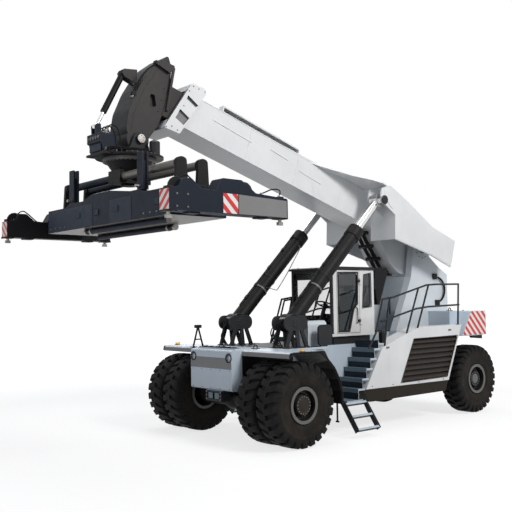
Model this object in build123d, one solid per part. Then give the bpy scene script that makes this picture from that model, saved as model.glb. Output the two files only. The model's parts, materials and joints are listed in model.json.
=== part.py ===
from build123d import *
import math
import os

# Reach stacker, in mm. Drawn with +X to the machine's left, +Y to its rear, +Z up and the
# ground point under the front axle as origin; Y_MID then moves the origin to mid-length.

# ---- named sizes ----
WHEEL_BASE = 6190
TYRE_R, TYRE_W = 810, 500
LUGS, LUG_DEPTH, LUG_SHARE = 24, 44, 0.60     # lugs round a tyre, height, share of the pitch
RIM_R, FLANGE_R, HUB_R = 318, 345, 200
FRONT_OUT_X, FRONT_IN_X, REAR_X = 1810, 1230, 1400
KINGPIN_X = 1080
FRONT_Y = -620            # front face of the chassis
NOSE_X, SIDE_X, COVER_X = 670, 760, 1600
DECK_Z = 2 * TYRE_R + 180
DECK_T = 50
FRAME_Z0 = TYRE_R - 110
SILL_Z = TYRE_R + 50
REAR_Y = WHEEL_BASE + 510 # back of the counterweight

BOOM_ANGLE = 17.2         # at rest
PIVOT_Y, PIVOT_Z = WHEEL_BASE - 690, DECK_Z + 2200
BOOM_X, BOOM_WALL = 360, 20
BOOM_V0, BOOM_V1 = -25, 700
BOOM_FRONT_U = 7370
INNER_X, INNER_V0, INNER_V1, INNER_U0, INNER_U1 = 318, 12, 645, 1000, 7800
TOWER_X, TOWER_T, TOWER_HEAD_R, PIN_R = 440, 190, 330, 90
WING_X = 1100
CYL_X, CYL_R, CYL_BORE, ROD_R = 880, 160, 108, 100
BASE_Y, BASE_Z = 750, DECK_Z + 500
EYE_Y, EYE_Z = PIVOT_Y - 1940, PIVOT_Z + 1020
BARREL_L, ROD_L = 2900, 2850

HEAD_Y, HEAD_PIN_Z = PIVOT_Y - 7980, PIVOT_Z + 1790
HANGER_Z, HANGER_R, HANGER_T = HEAD_PIN_Z - 330, 640, 40
LOCK_X, LOCK_Y = 2926.5, 1129.5     # twistlocks from the spreader's middle, 20 ft
END_Z0, END_Z1 = HEAD_PIN_Z - 1650, HEAD_PIN_Z - 1320
FRAME_X, FRAME_Y = 2150, 600        # spreader main frame half sizes
SPREAD_Z0, SPREAD_Z1 = HEAD_PIN_Z - 1600, HEAD_PIN_Z - 1090

CAB_X, CAB_Y0, CAB_Y1, CAB_Z0 = 640, WHEEL_BASE - 3940, WHEEL_BASE - 2540, DECK_Z + 150
CAB_Z1 = CAB_Z0 + 1550
CAB_WALL = 50
RUN = 0.1                 # running gap of a shaft in its bore, a runner on its rail
DOOR_Y0, DOOR_Y1 = CAB_Y0 + 170, CAB_Y0 + 900

TIP_Y = HEAD_Y - LOCK_Y - 70        # front tip of the spreader's end beams
Y_MID = (TIP_Y + max(REAR_Y, WHEEL_BASE + TYRE_R)) / 2

A = math.radians(BOOM_ANGLE)
CYL_A = math.atan2(EYE_Z - BASE_Z, EYE_Y - BASE_Y)
CYL_L = math.hypot(EYE_Z - BASE_Z, EYE_Y - BASE_Y)

nodes = {}


# ---- drawing helpers ----
def block(x0, x1, y0, y1, z0, z1):
    return Pos((x0 + x1) / 2, (y0 + y1) / 2, (z0 + z1) / 2) * Box(
        abs(x1 - x0), abs(y1 - y0), abs(z1 - z0)
    )


def flat(corners, place):
    """Flat face inside corners (a, b) or (a, b, radius); place puts (a, b) in space."""
    joins = []
    for i, (a, b, *radius) in enumerate(corners):
        p = Vector(a, b)
        if not radius:
            joins.append((p, None, p))
            continue
        back = (Vector(*corners[i - 1][:2]) - p).normalized()
        ahead = (Vector(*corners[(i + 1) % len(corners)][:2]) - p).normalized()
        half_angle = math.radians(back.get_angle(ahead) / 2)
        cut, reach = radius[0] / math.tan(half_angle), radius[0] / math.sin(half_angle)
        middle = p + (back + ahead).normalized() * (reach - radius[0])
        joins.append((p + back * cut, middle, p + ahead * cut))
    edges = []
    for i, (start, middle, end) in enumerate(joins):
        following = joins[(i + 1) % len(joins)][0]
        if middle is not None:
            edges.append(ThreePointArc(place(start), place(middle), place(end)))
        if (following - end).length > 1e-6:
            edges.append(Line(place(end), place(following)))
    return make_face(edges)


def prism(corners, x0, x1):
    """(y, z) outline pushed along X."""
    return extrude(flat(corners, lambda p: (x0, p.X, p.Y)), amount=x1 - x0, dir=(1, 0, 0))


def plan(corners, z0, z1):
    """(x, y) outline pushed along Z."""
    return extrude(flat(corners, lambda p: (p.X, p.Y, z0)), amount=z1 - z0, dir=(0, 0, 1))


def front(corners, y0, y1):
    """(x, z) outline pushed along Y."""
    return extrude(flat(corners, lambda p: (p.X, y0, p.Y)), amount=y1 - y0, dir=(0, 1, 0))


def cyl_x(y, z, r, x0, x1):
    return Pos((x0 + x1) / 2, y, z) * Rot(0, 90, 0) * Cylinder(r, abs(x1 - x0))


def cyl_y(x, z, r, y0, y1):
    return Pos(x, (y0 + y1) / 2, z) * Rot(90, 0, 0) * Cylinder(r, abs(y1 - y0))


def cyl_z(x, y, r, z0, z1):
    return Pos(x, y, (z0 + z1) / 2) * Cylinder(r, abs(z1 - z0))


def bar(p, q, r):
    a, b = Vector(*p), Vector(*q)
    return extrude(Plane(origin=a, z_dir=b - a) * Circle(r), amount=(b - a).length)


def rail(paths, r):
    """Round tubes along open paths, with ball corners, as one solid."""
    out = None
    for path in paths:
        for p, q in zip(path, path[1:]):
            piece = bar(p, q, r)
            out = piece if out is None else out + piece
        for p in path[1:-1]:
            out = out + Pos(*p) * Sphere(r + 2)
    return out


def boom_yz(u, v, *radius):
    """Boom coordinates (forward along it, up across it) from the pivot to (y, z)."""
    return (
        PIVOT_Y - u * math.cos(A) + v * math.sin(A),
        PIVOT_Z + u * math.sin(A) + v * math.cos(A),
        *radius,
    )


def boom_prism(corners, x0, x1):
    return prism([boom_yz(*c) for c in corners], x0, x1)


def boom_plan(corners, v0, v1):
    """(u, x) outline pushed across the boom from v0 to v1."""
    up = (0, math.sin(A), math.cos(A))

    def place(p):
        y, z = boom_yz(p.X, v0)
        return (p.Y, y, z)

    return extrude(flat(corners, place), amount=v1 - v0, dir=up)


def both(name, shape):
    """A left piece (+X) and its mirror image."""
    nodes[name + "_left"] = shape
    nodes[name + "_right"] = shape.mirror(Plane.YZ)


def pair(name, *shapes):
    """One node of left pieces and their mirror images, all fixed to the same body."""
    nodes[name] = Compound([s for shape in shapes for s in (shape, shape.mirror(Plane.YZ))])


# ---- wheels ----
def polygon_x(radius, sides, x0, x1, turn=0.0):
    """Prism about the X axis with flats at the given radius."""
    corner = radius / math.cos(math.pi / sides)
    angles = [turn + (i + 0.5) * 2 * math.pi / sides for i in range(sides)]
    return prism([(corner * math.sin(t), -corner * math.cos(t)) for t in angles], x0, x1)


def lugged_ring(x0, x1):
    """Tread with flat-topped cross lugs, one of them flat on the ground."""
    pitch = 2 * math.pi / LUGS
    tip, root = pitch * LUG_SHARE * 0.42, pitch * LUG_SHARE * 0.58
    tip_r, root_r = TYRE_R / math.cos(tip), TYRE_R - LUG_DEPTH
    corners = []
    for i in range(LUGS):
        for r, t in ((root_r, -root), (tip_r, -tip), (tip_r, tip), (root_r, root)):
            corners.append((r * math.sin(i * pitch + t), -r * math.cos(i * pitch + t)))
    return prism(corners, x0, x1)


TREAD_X, SHOULDER_R, BEAD = 205, TYRE_R - 120, 58


def tyre(x, y):
    """Tyre about the X axis: lugged tread on a plain round core, bored for its rim."""
    h = TYRE_W / 2
    ring = lugged_ring(-TREAD_X, TREAD_X) + polygon_x(SHOULDER_R, LUGS, -h, h)
    ring = ring - polygon_x(RIM_R + RUN, LUGS, -h - 1, h + 1)
    for x0, x1 in ((-h - 1, -h + BEAD), (h - BEAD, h + 1)):
        ring = ring - polygon_x(FLANGE_R + 3, LUGS, x0, x1)
    return Pos(x, y, TYRE_R) * ring


def rim(x0, x1, y, disc_x, hub_x, hub_r, spindle_r):
    """Barrel with outer flanges from x0 to x1, a disc and a hub bored for its spindle."""
    lip = 22
    outline = [
        (x0, 285), (x0, FLANGE_R), (x0 + lip, FLANGE_R), (x0 + lip, RIM_R),
        (x1 - lip, RIM_R), (x1 - lip, FLANGE_R), (x1, FLANGE_R), (x1, 285),
        (disc_x + 40, 285), (disc_x + 25, hub_r), (hub_x, hub_r - 20), (hub_x, 120),
        (hub_x - 40, 60), (hub_x - 40, 0), (hub_x - 75, 0), (hub_x - 75, spindle_r + RUN),
        (disc_x - 40, spindle_r + RUN), (disc_x - 40, 285),
    ]
    face = make_face(Polyline(*[(a, y, r) for a, r in outline], close=True))
    return Pos(0, 0, TYRE_R) * revolve(face, axis=Axis((0, y, 0), (1, 0, 0)))


half = TYRE_W / 2
SPINDLE_R, REAR_SPINDLE_R = 120, 85
both("front_tyres", Compound([tyre(FRONT_OUT_X, 0), tyre(FRONT_IN_X, 0)]))
both("front_rim", rim(FRONT_IN_X - half + 33, FRONT_OUT_X + half - 11, 0,
                      FRONT_OUT_X + 60, FRONT_OUT_X + half - 30, HUB_R, SPINDLE_R))
both("rear_tyre", tyre(REAR_X, WHEEL_BASE))
both("rear_rim", rim(REAR_X - half + 33, REAR_X + half - 11, WHEEL_BASE,
                     REAR_X + 60, REAR_X + half - 60, HUB_R, REAR_SPINDLE_R))

# ---- axles ----
AXLE_END = FRONT_OUT_X + half - 30 - 80
AXLE_TOP = TYRE_R + 260
nodes["front_axle"] = (
    cyl_x(0, TYRE_R, 190, -900, 900)
    + cyl_x(0, TYRE_R, SPINDLE_R, -AXLE_END, AXLE_END)
    + Pos(0, 0, TYRE_R) * Sphere(255)
    + block(380, 600, -200, 200, TYRE_R, AXLE_TOP)
    + block(-600, -380, -200, 200, TYRE_R, AXLE_TOP)
)
PIN_EYE_R, KINGPIN_R, PIN_EYE_Z0, PIN_EYE_Z1 = 118, 60, TYRE_R - 80, TYRE_R + 80


def kingpin(r, z0, z1):
    return cyl_z(KINGPIN_X, WHEEL_BASE, r, z0, z1)


BEAM_Z0, BEAM_Z1 = PIN_EYE_Z0 - 30, PIN_EYE_Z1 + 30
axle_half = (
    block(0, KINGPIN_X - 90, WHEEL_BASE - 110, WHEEL_BASE + 110, BEAM_Z0, BEAM_Z1)
    + kingpin(PIN_EYE_R, PIN_EYE_Z0, PIN_EYE_Z1)
    - (kingpin(PIN_EYE_R + 8, BEAM_Z0 - 100, PIN_EYE_Z0)
       + kingpin(PIN_EYE_R + 8, PIN_EYE_Z1, BEAM_Z1 + 80))
    - block(KINGPIN_X - 130, KINGPIN_X, WHEEL_BASE - 200, WHEEL_BASE + 200, BEAM_Z0 - 100,
            PIN_EYE_Z0)
    - block(KINGPIN_X - 130, KINGPIN_X, WHEEL_BASE - 200, WHEEL_BASE + 200, PIN_EYE_Z1, BEAM_Z1
            + 80)
    - kingpin(KINGPIN_R + RUN, 0, 3 * TYRE_R)
)
nodes["steer_axle"] = (
    axle_half + axle_half.mirror(Plane.YZ)
    + block(-350, 350, WHEEL_BASE - 200, WHEEL_BASE + 200, TYRE_R - 150, TYRE_R + 190)
)
fork = (
    block(KINGPIN_X - 70, KINGPIN_X + 170, WHEEL_BASE - 80, WHEEL_BASE + 80,
          TYRE_R - 150, TYRE_R + 150)
    - kingpin(PIN_EYE_R + 6, PIN_EYE_Z0 - 6, PIN_EYE_Z1 + 6)
    - block(KINGPIN_X - 80, KINGPIN_X, WHEEL_BASE - 90, WHEEL_BASE + 90,
            PIN_EYE_Z0 - 6, PIN_EYE_Z1 + 6)
)
both("steer_knuckle",
     fork + kingpin(KINGPIN_R, TYRE_R - 170, TYRE_R + 170)
     + cyl_x(WHEEL_BASE, TYRE_R, REAR_SPINDLE_R, KINGPIN_X + 150, REAR_X + half - 60 - 80)
     + cyl_x(WHEEL_BASE, TYRE_R, 170, KINGPIN_X + 150, REAR_X - 60))

# ---- chassis ----
FEN_X0, FEN_X1, FEN_Y0, FEN_Y1, FEN_T = NOSE_X, 2060, -300, 430, 45
FEN_R = TYRE_R + 200
NOSE_Z0, DECK_Z0 = TYRE_R + 190, DECK_Z - DECK_T
TRAIL_Y = 1150            # back of the front frame box
frame_nose = prism(
    [(FRONT_Y, NOSE_Z0, 40), (FRONT_Y, DECK_Z0), (TRAIL_Y, DECK_Z0), (TRAIL_Y, FRAME_Z0),
     (520, FRAME_Z0), (340, AXLE_TOP), (-340, AXLE_TOP), (-420, NOSE_Z0)],
    -NOSE_X, NOSE_X,
) + block(-1140, 1140, 250, TRAIL_Y, DECK_Z0 - 85, DECK_Z0)
LAMP_X, LAMP_Z, LAMP_R = NOSE_X - 90, DECK_Z - 150, 85
for x in (-LAMP_X, LAMP_X):
    frame_nose = frame_nose - cyl_y(x, LAMP_Z, LAMP_R, FRONT_Y - 10, FRONT_Y + 90)
lamps = [cyl_y(x, LAMP_Z, LAMP_R - 12, FRONT_Y + 30, FRONT_Y + 90) for x in (-LAMP_X, LAMP_X)]
# towing jaw under the nose: two cheeks between a top and a bottom plate
TOW_X0, TOW_X1, TOW_Y0, TOW_Y1, TOW_Z0 = -110, 380, FRONT_Y - 40, -425, TYRE_R - 20
frame_nose = frame_nose + (
    block(TOW_X0, TOW_X1, TOW_Y0, TOW_Y1, NOSE_Z0 - 40, NOSE_Z0)
    + block(TOW_X0, TOW_X1, TOW_Y0, TOW_Y1, TOW_Z0, TOW_Z0 + 40)
    + block(TOW_X0, TOW_X0 + 40, TOW_Y0, TOW_Y1, TOW_Z0, NOSE_Z0)
    + block(TOW_X1 - 40, TOW_X1, TOW_Y0, TOW_Y1, TOW_Z0, NOSE_Z0)
    + cyl_z((TOW_X0 + TOW_X1) / 2, (TOW_Y0 + TOW_Y1) / 2, 30, TOW_Z0, NOSE_Z0)
)
RAIL_X0 = 560
RAIL_Y1 = WHEEL_BASE - 1140
frame_side = prism(
    [(TRAIL_Y, FRAME_Z0), (TRAIL_Y, DECK_Z0), (RAIL_Y1, DECK_Z0), (RAIL_Y1, DECK_Z - 150),
     (RAIL_Y1 - 100, FRAME_Z0)],
    RAIL_X0, SIDE_X,
)
ENGINE_Y0, ENGINE_Y1 = WHEEL_BASE - 2450, WHEEL_BASE - 1250
nodes["transmission"] = block(-RAIL_X0, RAIL_X0, TRAIL_Y, ENGINE_Y0 - 240, FRAME_Z0 + 100, DECK_Z0)
nodes["engine"] = block(-390, 390, ENGINE_Y0, ENGINE_Y1, FRAME_Z0 + 120, DECK_Z + 100)
TAIL_Y1 = REAR_Y - 60
frame_tail = prism(
    [(RAIL_Y1, NOSE_Z0), (RAIL_Y1, DECK_Z0), (TAIL_Y1, DECK_Z0), (TAIL_Y1, TYRE_R + 90),
     (TAIL_Y1 - 140, TYRE_R - 50), (WHEEL_BASE + 240, NOSE_Z0)],
    -470, 470,
)
cross = block(-SIDE_X, SIDE_X, RAIL_Y1, RAIL_Y1 + 130, NOSE_Z0, DECK_Z0)
cradles = [block(-RAIL_X0, RAIL_X0, y, y + 150, FRAME_Z0 + 20, FRAME_Z0 + 120)
           for y in (ENGINE_Y0 + 160, ENGINE_Y1 - 290)]
nodes["chassis_frame"] = Compound(
    [frame_nose, frame_side, frame_side.mirror(Plane.YZ), frame_tail + cross] + cradles)
DECK_X = 1180             # the deck beside the cab
WALK_X, WALK_Y0, WALK_Y1 = 1250, 2790, WHEEL_BASE - 590
STAIR_X0, STAIR_Y0 = 935, 1560
HOOD_X, HOOD_Y0, HOOD_Y1, HOOD_Z = TOWER_X - 20, ENGINE_Y0 - 40, ENGINE_Y1 + 60, DECK_Z + 180
NOSE_DECK_Y = FRONT_Y + 110
deck_half = [(0, NOSE_DECK_Y), (NOSE_X, NOSE_DECK_Y), (NOSE_X, FEN_Y1), (DECK_X, FEN_Y1),
             (DECK_X, STAIR_Y0), (STAIR_X0, STAIR_Y0), (STAIR_X0, WALK_Y0),
             (WALK_X, WALK_Y0), (WALK_X, WALK_Y1), (0, WALK_Y1)]
deck = plan(deck_half, DECK_Z0, DECK_Z)
deck = deck + deck.mirror(Plane.YZ)
# rounded top edge of the nose
deck = deck + prism([(FRONT_Y, DECK_Z0), (FRONT_Y, DECK_Z, 45), (NOSE_DECK_Y + 1, DECK_Z),
                     (NOSE_DECK_Y + 1, DECK_Z0)],
                    -NOSE_X, NOSE_X)
nodes["deck"] = deck - block(-395, 395, ENGINE_Y0 - 125, ENGINE_Y1 + 45, DECK_Z0 - 10, DECK_Z + 10)
# tray for the hoses along the front of the deck
TRAY_Y0, TRAY_Y1, TRAY_Z = FRONT_Y + 150, FRONT_Y + 290, DECK_Z + 30
nodes["deck"] = (
    nodes["deck"]
    + block(-NOSE_X + 60, NOSE_X - 60, TRAY_Y0, TRAY_Y1, DECK_Z, TRAY_Z)
    - block(-NOSE_X + 70, NOSE_X - 70, TRAY_Y0 + 10, TRAY_Y1 - 10, DECK_Z + 8, TRAY_Z + 1)
)

# mudguards over the twin wheels: flat top, then a plate bent down behind
fender_top = block(FEN_X0, FEN_X1, FEN_Y0, FEN_Y1, DECK_Z0, DECK_Z)
# front lip between the nose and the outer tyre
fender_top = fender_top + prism(
    [(FEN_Y0, DECK_Z0), (FEN_Y0 - 60, DECK_Z - 110), (FEN_Y0 - 60, DECK_Z - 30, 25),
     (FEN_Y0, DECK_Z)],
    FEN_X0, FEN_X1)


def fender_arc(r):
    return [(r * math.cos(t), TYRE_R + r * math.sin(t))
            for t in [math.radians(a) for a in (52, 38, 24, 10, -4)]]


fender_back = prism([(FEN_Y1, DECK_Z0)] + fender_arc(FEN_R) + fender_arc(FEN_R + FEN_T)[::-1]
                    + [(FEN_Y1 + 120, DECK_Z, 60), (FEN_Y1, DECK_Z)],
                    DECK_X + 5, FEN_X1)
pair("mudguards", fender_top, fender_back)

# side covers with louvre fields
COVER_Y0, COVER_FLOOR = 2230, TYRE_R + 70
COVER_Y1, COVER_TOP_Y1 = WHEEL_BASE - TYRE_R - 270, WHEEL_BASE - 510
cover = prism(
    [(COVER_Y0, COVER_FLOOR), (COVER_Y0 + 550, DECK_Z - 80, 60),
     (COVER_Y0 + 1150, DECK_Z + 120, 900),
     (WHEEL_BASE - 2140, DECK_Z + 310, 900), (COVER_TOP_Y1, DECK_Z + 330), (COVER_Y1, SILL_Z)],
    SIDE_X, COVER_X,
)
cover = cover - block(SIDE_X - 1, WALK_X, COVER_Y0, WHEEL_BASE, DECK_Z0, DECK_Z + 400)
LOUVRES, LOUVRE_DEPTH = 8, 70
GRILLE_Z0, GRILLE_Z1 = TYRE_R + 130, DECK_Z + 60
grille = [(WHEEL_BASE - 2810, GRILLE_Z0, 30), (WHEEL_BASE - 2330, GRILLE_Z1, 30),
          (WHEEL_BASE - 700, GRILLE_Z1 + 15, 30),
          (WHEEL_BASE - 1140, GRILLE_Z0 + 15, 30)]
cover = cover - prism(grille, COVER_X - LOUVRE_DEPTH, COVER_X + 1)
pitch = (GRILLE_Z1 - GRILLE_Z0) / LOUVRES
field = prism(grille, COVER_X - LOUVRE_DEPTH, COVER_X)
for i in range(LOUVRES):
    z = GRILLE_Z0 + i * pitch
    slat = front([(COVER_X - LOUVRE_DEPTH, z + pitch * 0.95),
                  (COVER_X - LOUVRE_DEPTH, z + pitch * 0.75),
                  (COVER_X - 8, z + pitch * 0.20), (COVER_X - 8, z + pitch * 0.42)],
                 WHEEL_BASE - 2850, WHEEL_BASE - 650)
    cover = cover + (slat & field)
pair("side_covers", cover)
sill = prism([(COVER_Y0 - 60, SILL_Z), (COVER_Y1, SILL_Z - 10), (COVER_Y1 - 110, SILL_Z - 240),
              (COVER_Y0 + 140, SILL_Z - 250)], SIDE_X, COVER_X - 20)
pair("side_sills", sill)

# ---- stairs and ladder ----
STEPS, STEP_Y0, STEP_RUN, STEP_L = 5, 2000, 132, 205
STEP_Z0, STEP_T, STEP_X1 = TYRE_R + 100, 40, COVER_X - 10
step_rise = (DECK_Z - 80 - STEP_Z0) / (STEPS - 1)
WALL_T, LANDING_Z0, LANDING_Z1 = 15, TYRE_R - 185, TYRE_R - 120
LANDING_Y0, RISER_T = 1650, 12
stair = prism(
    [(STAIR_Y0, LANDING_Z0), (STAIR_Y0, DECK_Z0), (WALK_Y0, DECK_Z0),
     (COVER_Y0 + 480, DECK_Z - 180), (COVER_Y0 - 10, COVER_FLOOR + 30),
     (COVER_Y0 - 80, LANDING_Z0)],
    STAIR_X0, STAIR_X0 + WALL_T)
for i in range(STEPS):
    y, z = STEP_Y0 + i * STEP_RUN, STEP_Z0 + i * step_rise
    riser_y, riser_z = y + STEP_RUN, z + step_rise - STEP_T
    stair = stair + block(STAIR_X0, STEP_X1, y, y + STEP_L, z - STEP_T, z)
    stair = stair + block(STAIR_X0, STEP_X1, riser_y, riser_y + RISER_T, z, riser_z)
stair = stair + block(STAIR_X0, STEP_X1, LANDING_Y0, COVER_Y0 - 90, LANDING_Z0, LANDING_Z1)
stair = stair + block(STAIR_X0, STEP_X1, STEP_Y0, STEP_Y0 + RISER_T,
                      LANDING_Z1, STEP_Z0 - STEP_T)
stair = stair - cover - sill
pair("stairs", stair)
# fold-down ladder leaning outward below the landing
LADDER_Y0, LADDER_Y1, LADDER_T = 1490, 2140, 26
LADDER_TOP, LADDER_FOOT = (STEP_X1, LANDING_Z0 + 30), (1960, 120)


def on_ladder(share, across=0.0):
    (x0, z0), (x1, z1) = LADDER_TOP, LADDER_FOOT
    length = math.dist(LADDER_TOP, LADDER_FOOT)
    x = x0 + (x1 - x0) * share + across * (z0 - z1) / length
    z = z0 + (z1 - z0) * share + across * (x1 - x0) / length
    return x, z


side = [on_ladder(0, 0), on_ladder(0, 90), on_ladder(1, 90), on_ladder(1, -10),
        on_ladder(0.3, -10)]
ladder = (
    front(side, LADDER_Y0, LADDER_Y0 + LADDER_T)
    + front(side, LADDER_Y1 - LADDER_T, LADDER_Y1)
)
for share in (0.08, 0.52, 0.96):
    tread = [on_ladder(share - 0.03, 5), on_ladder(share - 0.03, 90),
             on_ladder(share + 0.04, 90), on_ladder(share + 0.04, 5)]
    ladder = ladder + front(tread, LADDER_Y0, LADDER_Y1)
ladder = ladder & block(STEP_X1 + RUN, 3000, 0, 4000, 0, 1200)
pair("ladders", ladder)

# ---- counterweight, boom towers, hood ----
CW_Y0, CW_Z0, CW_Z1 = WHEEL_BASE - 490, DECK_Z + 50, DECK_Z + 640
nodes["counterweight"] = (
    prism([(CW_Y0, CW_Z0), (CW_Y0 + 390, CW_Z1, 25), (REAR_Y, CW_Z1, 40), (REAR_Y, CW_Z0 + 130, 60),
           (REAR_Y - 130, CW_Z0)], -COVER_X, COVER_X)
    + block(-WALK_X, WALK_X, CW_Y0, CW_Y0 + 400, CW_Z0, CW_Z1)
    + block(-470, 470, TAIL_Y1, REAR_Y, TYRE_R + 90, CW_Z0 + 250)
)
# lamp rail under the counterweight
LAMP_RAIL_Y0, LAMP_RAIL_Y1 = WHEEL_BASE - 100, REAR_Y - 150
tail_lamp_rail = prism([(LAMP_RAIL_Y0, CW_Z0), (LAMP_RAIL_Y1, CW_Z0), (LAMP_RAIL_Y1, CW_Z0 - 90),
                        (LAMP_RAIL_Y0 + 60, CW_Z0 - 60)], COVER_X - 90, COVER_X - 20)
tail_lamps = block(900, 1250, REAR_Y, REAR_Y + 25, CW_Z0 + 200, CW_Z0 + 300)
nodes["lamps"] = Compound(lamps + [s for shape in (tail_lamp_rail, tail_lamps)
                                   for s in (shape, shape.mirror(Plane.YZ))])
tower = prism(
    [(RAIL_Y1 - 610, DECK_Z), (WHEEL_BASE + 310, DECK_Z), (WHEEL_BASE + 310, PIVOT_Z - 640),
     (WHEEL_BASE - 20, PIVOT_Z - 470), (PIVOT_Y + 270, PIVOT_Z - 189),
     (PIVOT_Y - TOWER_HEAD_R, PIVOT_Z), (RAIL_Y1, PIVOT_Z - 710), (RAIL_Y1 - 610, DECK_Z + 210)],
    TOWER_X, TOWER_X + TOWER_T,
)
tower = tower + cyl_x(PIVOT_Y, PIVOT_Z, TOWER_HEAD_R, TOWER_X, TOWER_X + TOWER_T)
tower = tower - cyl_x(PIVOT_Y, PIVOT_Z, PIN_R + RUN, 0, 2000)
tower = tower - block(0, 2000, CW_Y0 - 5, WHEEL_BASE + 3000, 1000, CW_Z1 + 5)
pair("boom_towers", tower)
nodes["engine_hood"] = block(-HOOD_X, HOOD_X, HOOD_Y0, HOOD_Y1, DECK_Z + RUN, HOOD_Z) - block(
    -HOOD_X + 20, HOOD_X - 20, HOOD_Y0 + 20, HOOD_Y1 - 20, DECK_Z, HOOD_Z - 20)
HOOD_PIN_R, HOOD_PIN_Y, HOOD_PIN_Z = 15, HOOD_Y1 + 15, DECK_Z + 15 + RUN
HOOD_BORE = 8
HOOD_LUG_R, HOOD_LUG_T = 12, 20
for x in (-250, 250):
    nodes["engine_hood"] = (
        nodes["engine_hood"]
        + cyl_x(HOOD_PIN_Y, HOOD_PIN_Z, HOOD_PIN_R, x - 60, x + 60)
        - cyl_x(HOOD_PIN_Y, HOOD_PIN_Z, HOOD_BORE + RUN, x - 70, x + 70)
        + block(x - 60, x + 60, HOOD_Y1 - 1, HOOD_PIN_Y - HOOD_BORE - 2,
                HOOD_PIN_Z, HOOD_PIN_Z + 12)
    )
    nodes["deck"] = nodes["deck"] + cyl_x(HOOD_PIN_Y, HOOD_PIN_Z, HOOD_BORE, x - 80, x + 80)
    for lug_x in (x - 80, x + 60 + RUN):
        nodes["deck"] = (
            nodes["deck"]
            + block(lug_x, lug_x + HOOD_LUG_T, HOOD_PIN_Y - HOOD_LUG_R, HOOD_PIN_Y + HOOD_LUG_R,
                    DECK_Z, HOOD_PIN_Z)
            + cyl_x(HOOD_PIN_Y, HOOD_PIN_Z, HOOD_LUG_R, lug_x, lug_x + HOOD_LUG_T)
        )

# ---- lift cylinders ----
def cyl_point(d, off=0.0):
    return (BASE_Y + d * math.cos(CYL_A) - off * math.sin(CYL_A),
            BASE_Z + d * math.sin(CYL_A) + off * math.cos(CYL_A))


def along(d0, d1, r):
    (ya, za), (yb, zb) = cyl_point(d0), cyl_point(d1)
    return bar((CYL_X, ya, za), (CYL_X, yb, zb), r)


FOOT_R, FOOT_PIN_R = 190, 70
CLAMP_D = 1350            # clamp band up the barrel
both("lift_barrel",
     along(120, BARREL_L, CYL_R)
     + along(BARREL_L - 260, BARREL_L, CYL_R + 22)
     + along(CLAMP_D, CLAMP_D + 45, CYL_R + 10)
     + cyl_x(BASE_Y, BASE_Z, FOOT_R, CYL_X - 150, CYL_X + 150)
     - along(380, BARREL_L - 120, CYL_BORE)
     - along(380, BARREL_L + 5, ROD_R + RUN)
     - cyl_x(BASE_Y, BASE_Z, FOOT_PIN_R + RUN, 0, 2000))
PISTON_D = CYL_L - ROD_L
both("lift_rod",
     along(PISTON_D, CYL_L - 60, ROD_R)
     + along(PISTON_D, PISTON_D + 120, CYL_BORE - RUN)
     + cyl_x(EYE_Y, EYE_Z, 150, CYL_X - 110, CYL_X + 110)
     + cyl_x(EYE_Y, EYE_Z, 70, CYL_X - 150 + RUN, CYL_X + 180 - RUN))
# each foot: two plates with rounded ends on slim legs, and a pin between them
CHEEK_T, CHEEK_IN, CHEEK_OUT = 40, CYL_X - 200, CYL_X + 160
cheek = prism([(BASE_Y - 320, BASE_Z - 150, 140), (BASE_Y - 320, BASE_Z + 150, 140),
               (BASE_Y + 320, BASE_Z + 150, 140), (BASE_Y + 320, BASE_Z - 150, 140)], 0, CHEEK_T)
for foot_y, top_y in ((BASE_Y - 270, BASE_Y - 130), (BASE_Y + 60, BASE_Y + 20),
                      (BASE_Y + 300, BASE_Y + 140)):
    cheek = cheek + prism([(foot_y - 45, DECK_Z), (foot_y + 45, DECK_Z), (top_y + 45, BASE_Z - 100),
                           (top_y - 45, BASE_Z - 100)],
                          0, CHEEK_T)
pair("cylinder_brackets", Pos(CHEEK_IN, 0, 0) * cheek + Pos(CHEEK_OUT, 0, 0) * cheek
     + cyl_x(BASE_Y, BASE_Z, FOOT_PIN_R, CHEEK_IN, CHEEK_OUT + CHEEK_T))

# ---- boom ----
boom_top = [(BOOM_FRONT_U, BOOM_V1), (5200, 700), (3600, 750), (2500, 830), (1580, 960),
            (400, 700), (-500, 420), (-650, 300)]
belly = [(-650, -170), (-500, -450, 300), (-170, -680, 500), (340, -760, 500), (760, -640, 300),
         (1100, -330), (1400, BOOM_V0)]
tube = boom_prism(boom_top + belly + [(BOOM_FRONT_U, BOOM_V0)], -BOOM_X, BOOM_X)
bore = boom_prism(
    [(BOOM_FRONT_U + 10, BOOM_V0 + BOOM_WALL), (BOOM_FRONT_U + 10, BOOM_V1 - BOOM_WALL),
     (700, BOOM_V1 - BOOM_WALL), (700, BOOM_V0 + BOOM_WALL)],
    -BOOM_X + BOOM_WALL, BOOM_X - BOOM_WALL)
liner = boom_prism(
    [(BOOM_FRONT_U - 250, BOOM_V0), (BOOM_FRONT_U, BOOM_V0), (BOOM_FRONT_U, BOOM_V1),
     (BOOM_FRONT_U - 250, BOOM_V1)],
    -BOOM_X, BOOM_X)
liner = liner - boom_prism(
    [(7000, INNER_V0 - RUN), (8000, INNER_V0 - RUN), (8000, INNER_V1 + RUN),
     (7000, INNER_V1 + RUN)],
    -INNER_X - RUN, INNER_X + RUN)
tube = tube - bore + liner
RIB_H, RIB_T = 16, 10
for u0, u1, v in ((5630, 6700, 400), (4570, 5100, 450), (3500, 4200, 330)):     # ribs on the sides
    rib = [(u0, v), (u1, v + 25), (u1, v + 25 + RIB_H), (u0, v + RIB_H)]
    for x0, x1 in ((BOOM_X, BOOM_X + RIB_T), (-BOOM_X - RIB_T, -BOOM_X)):
        tube = tube + boom_prism(rib, x0, x1)
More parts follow.
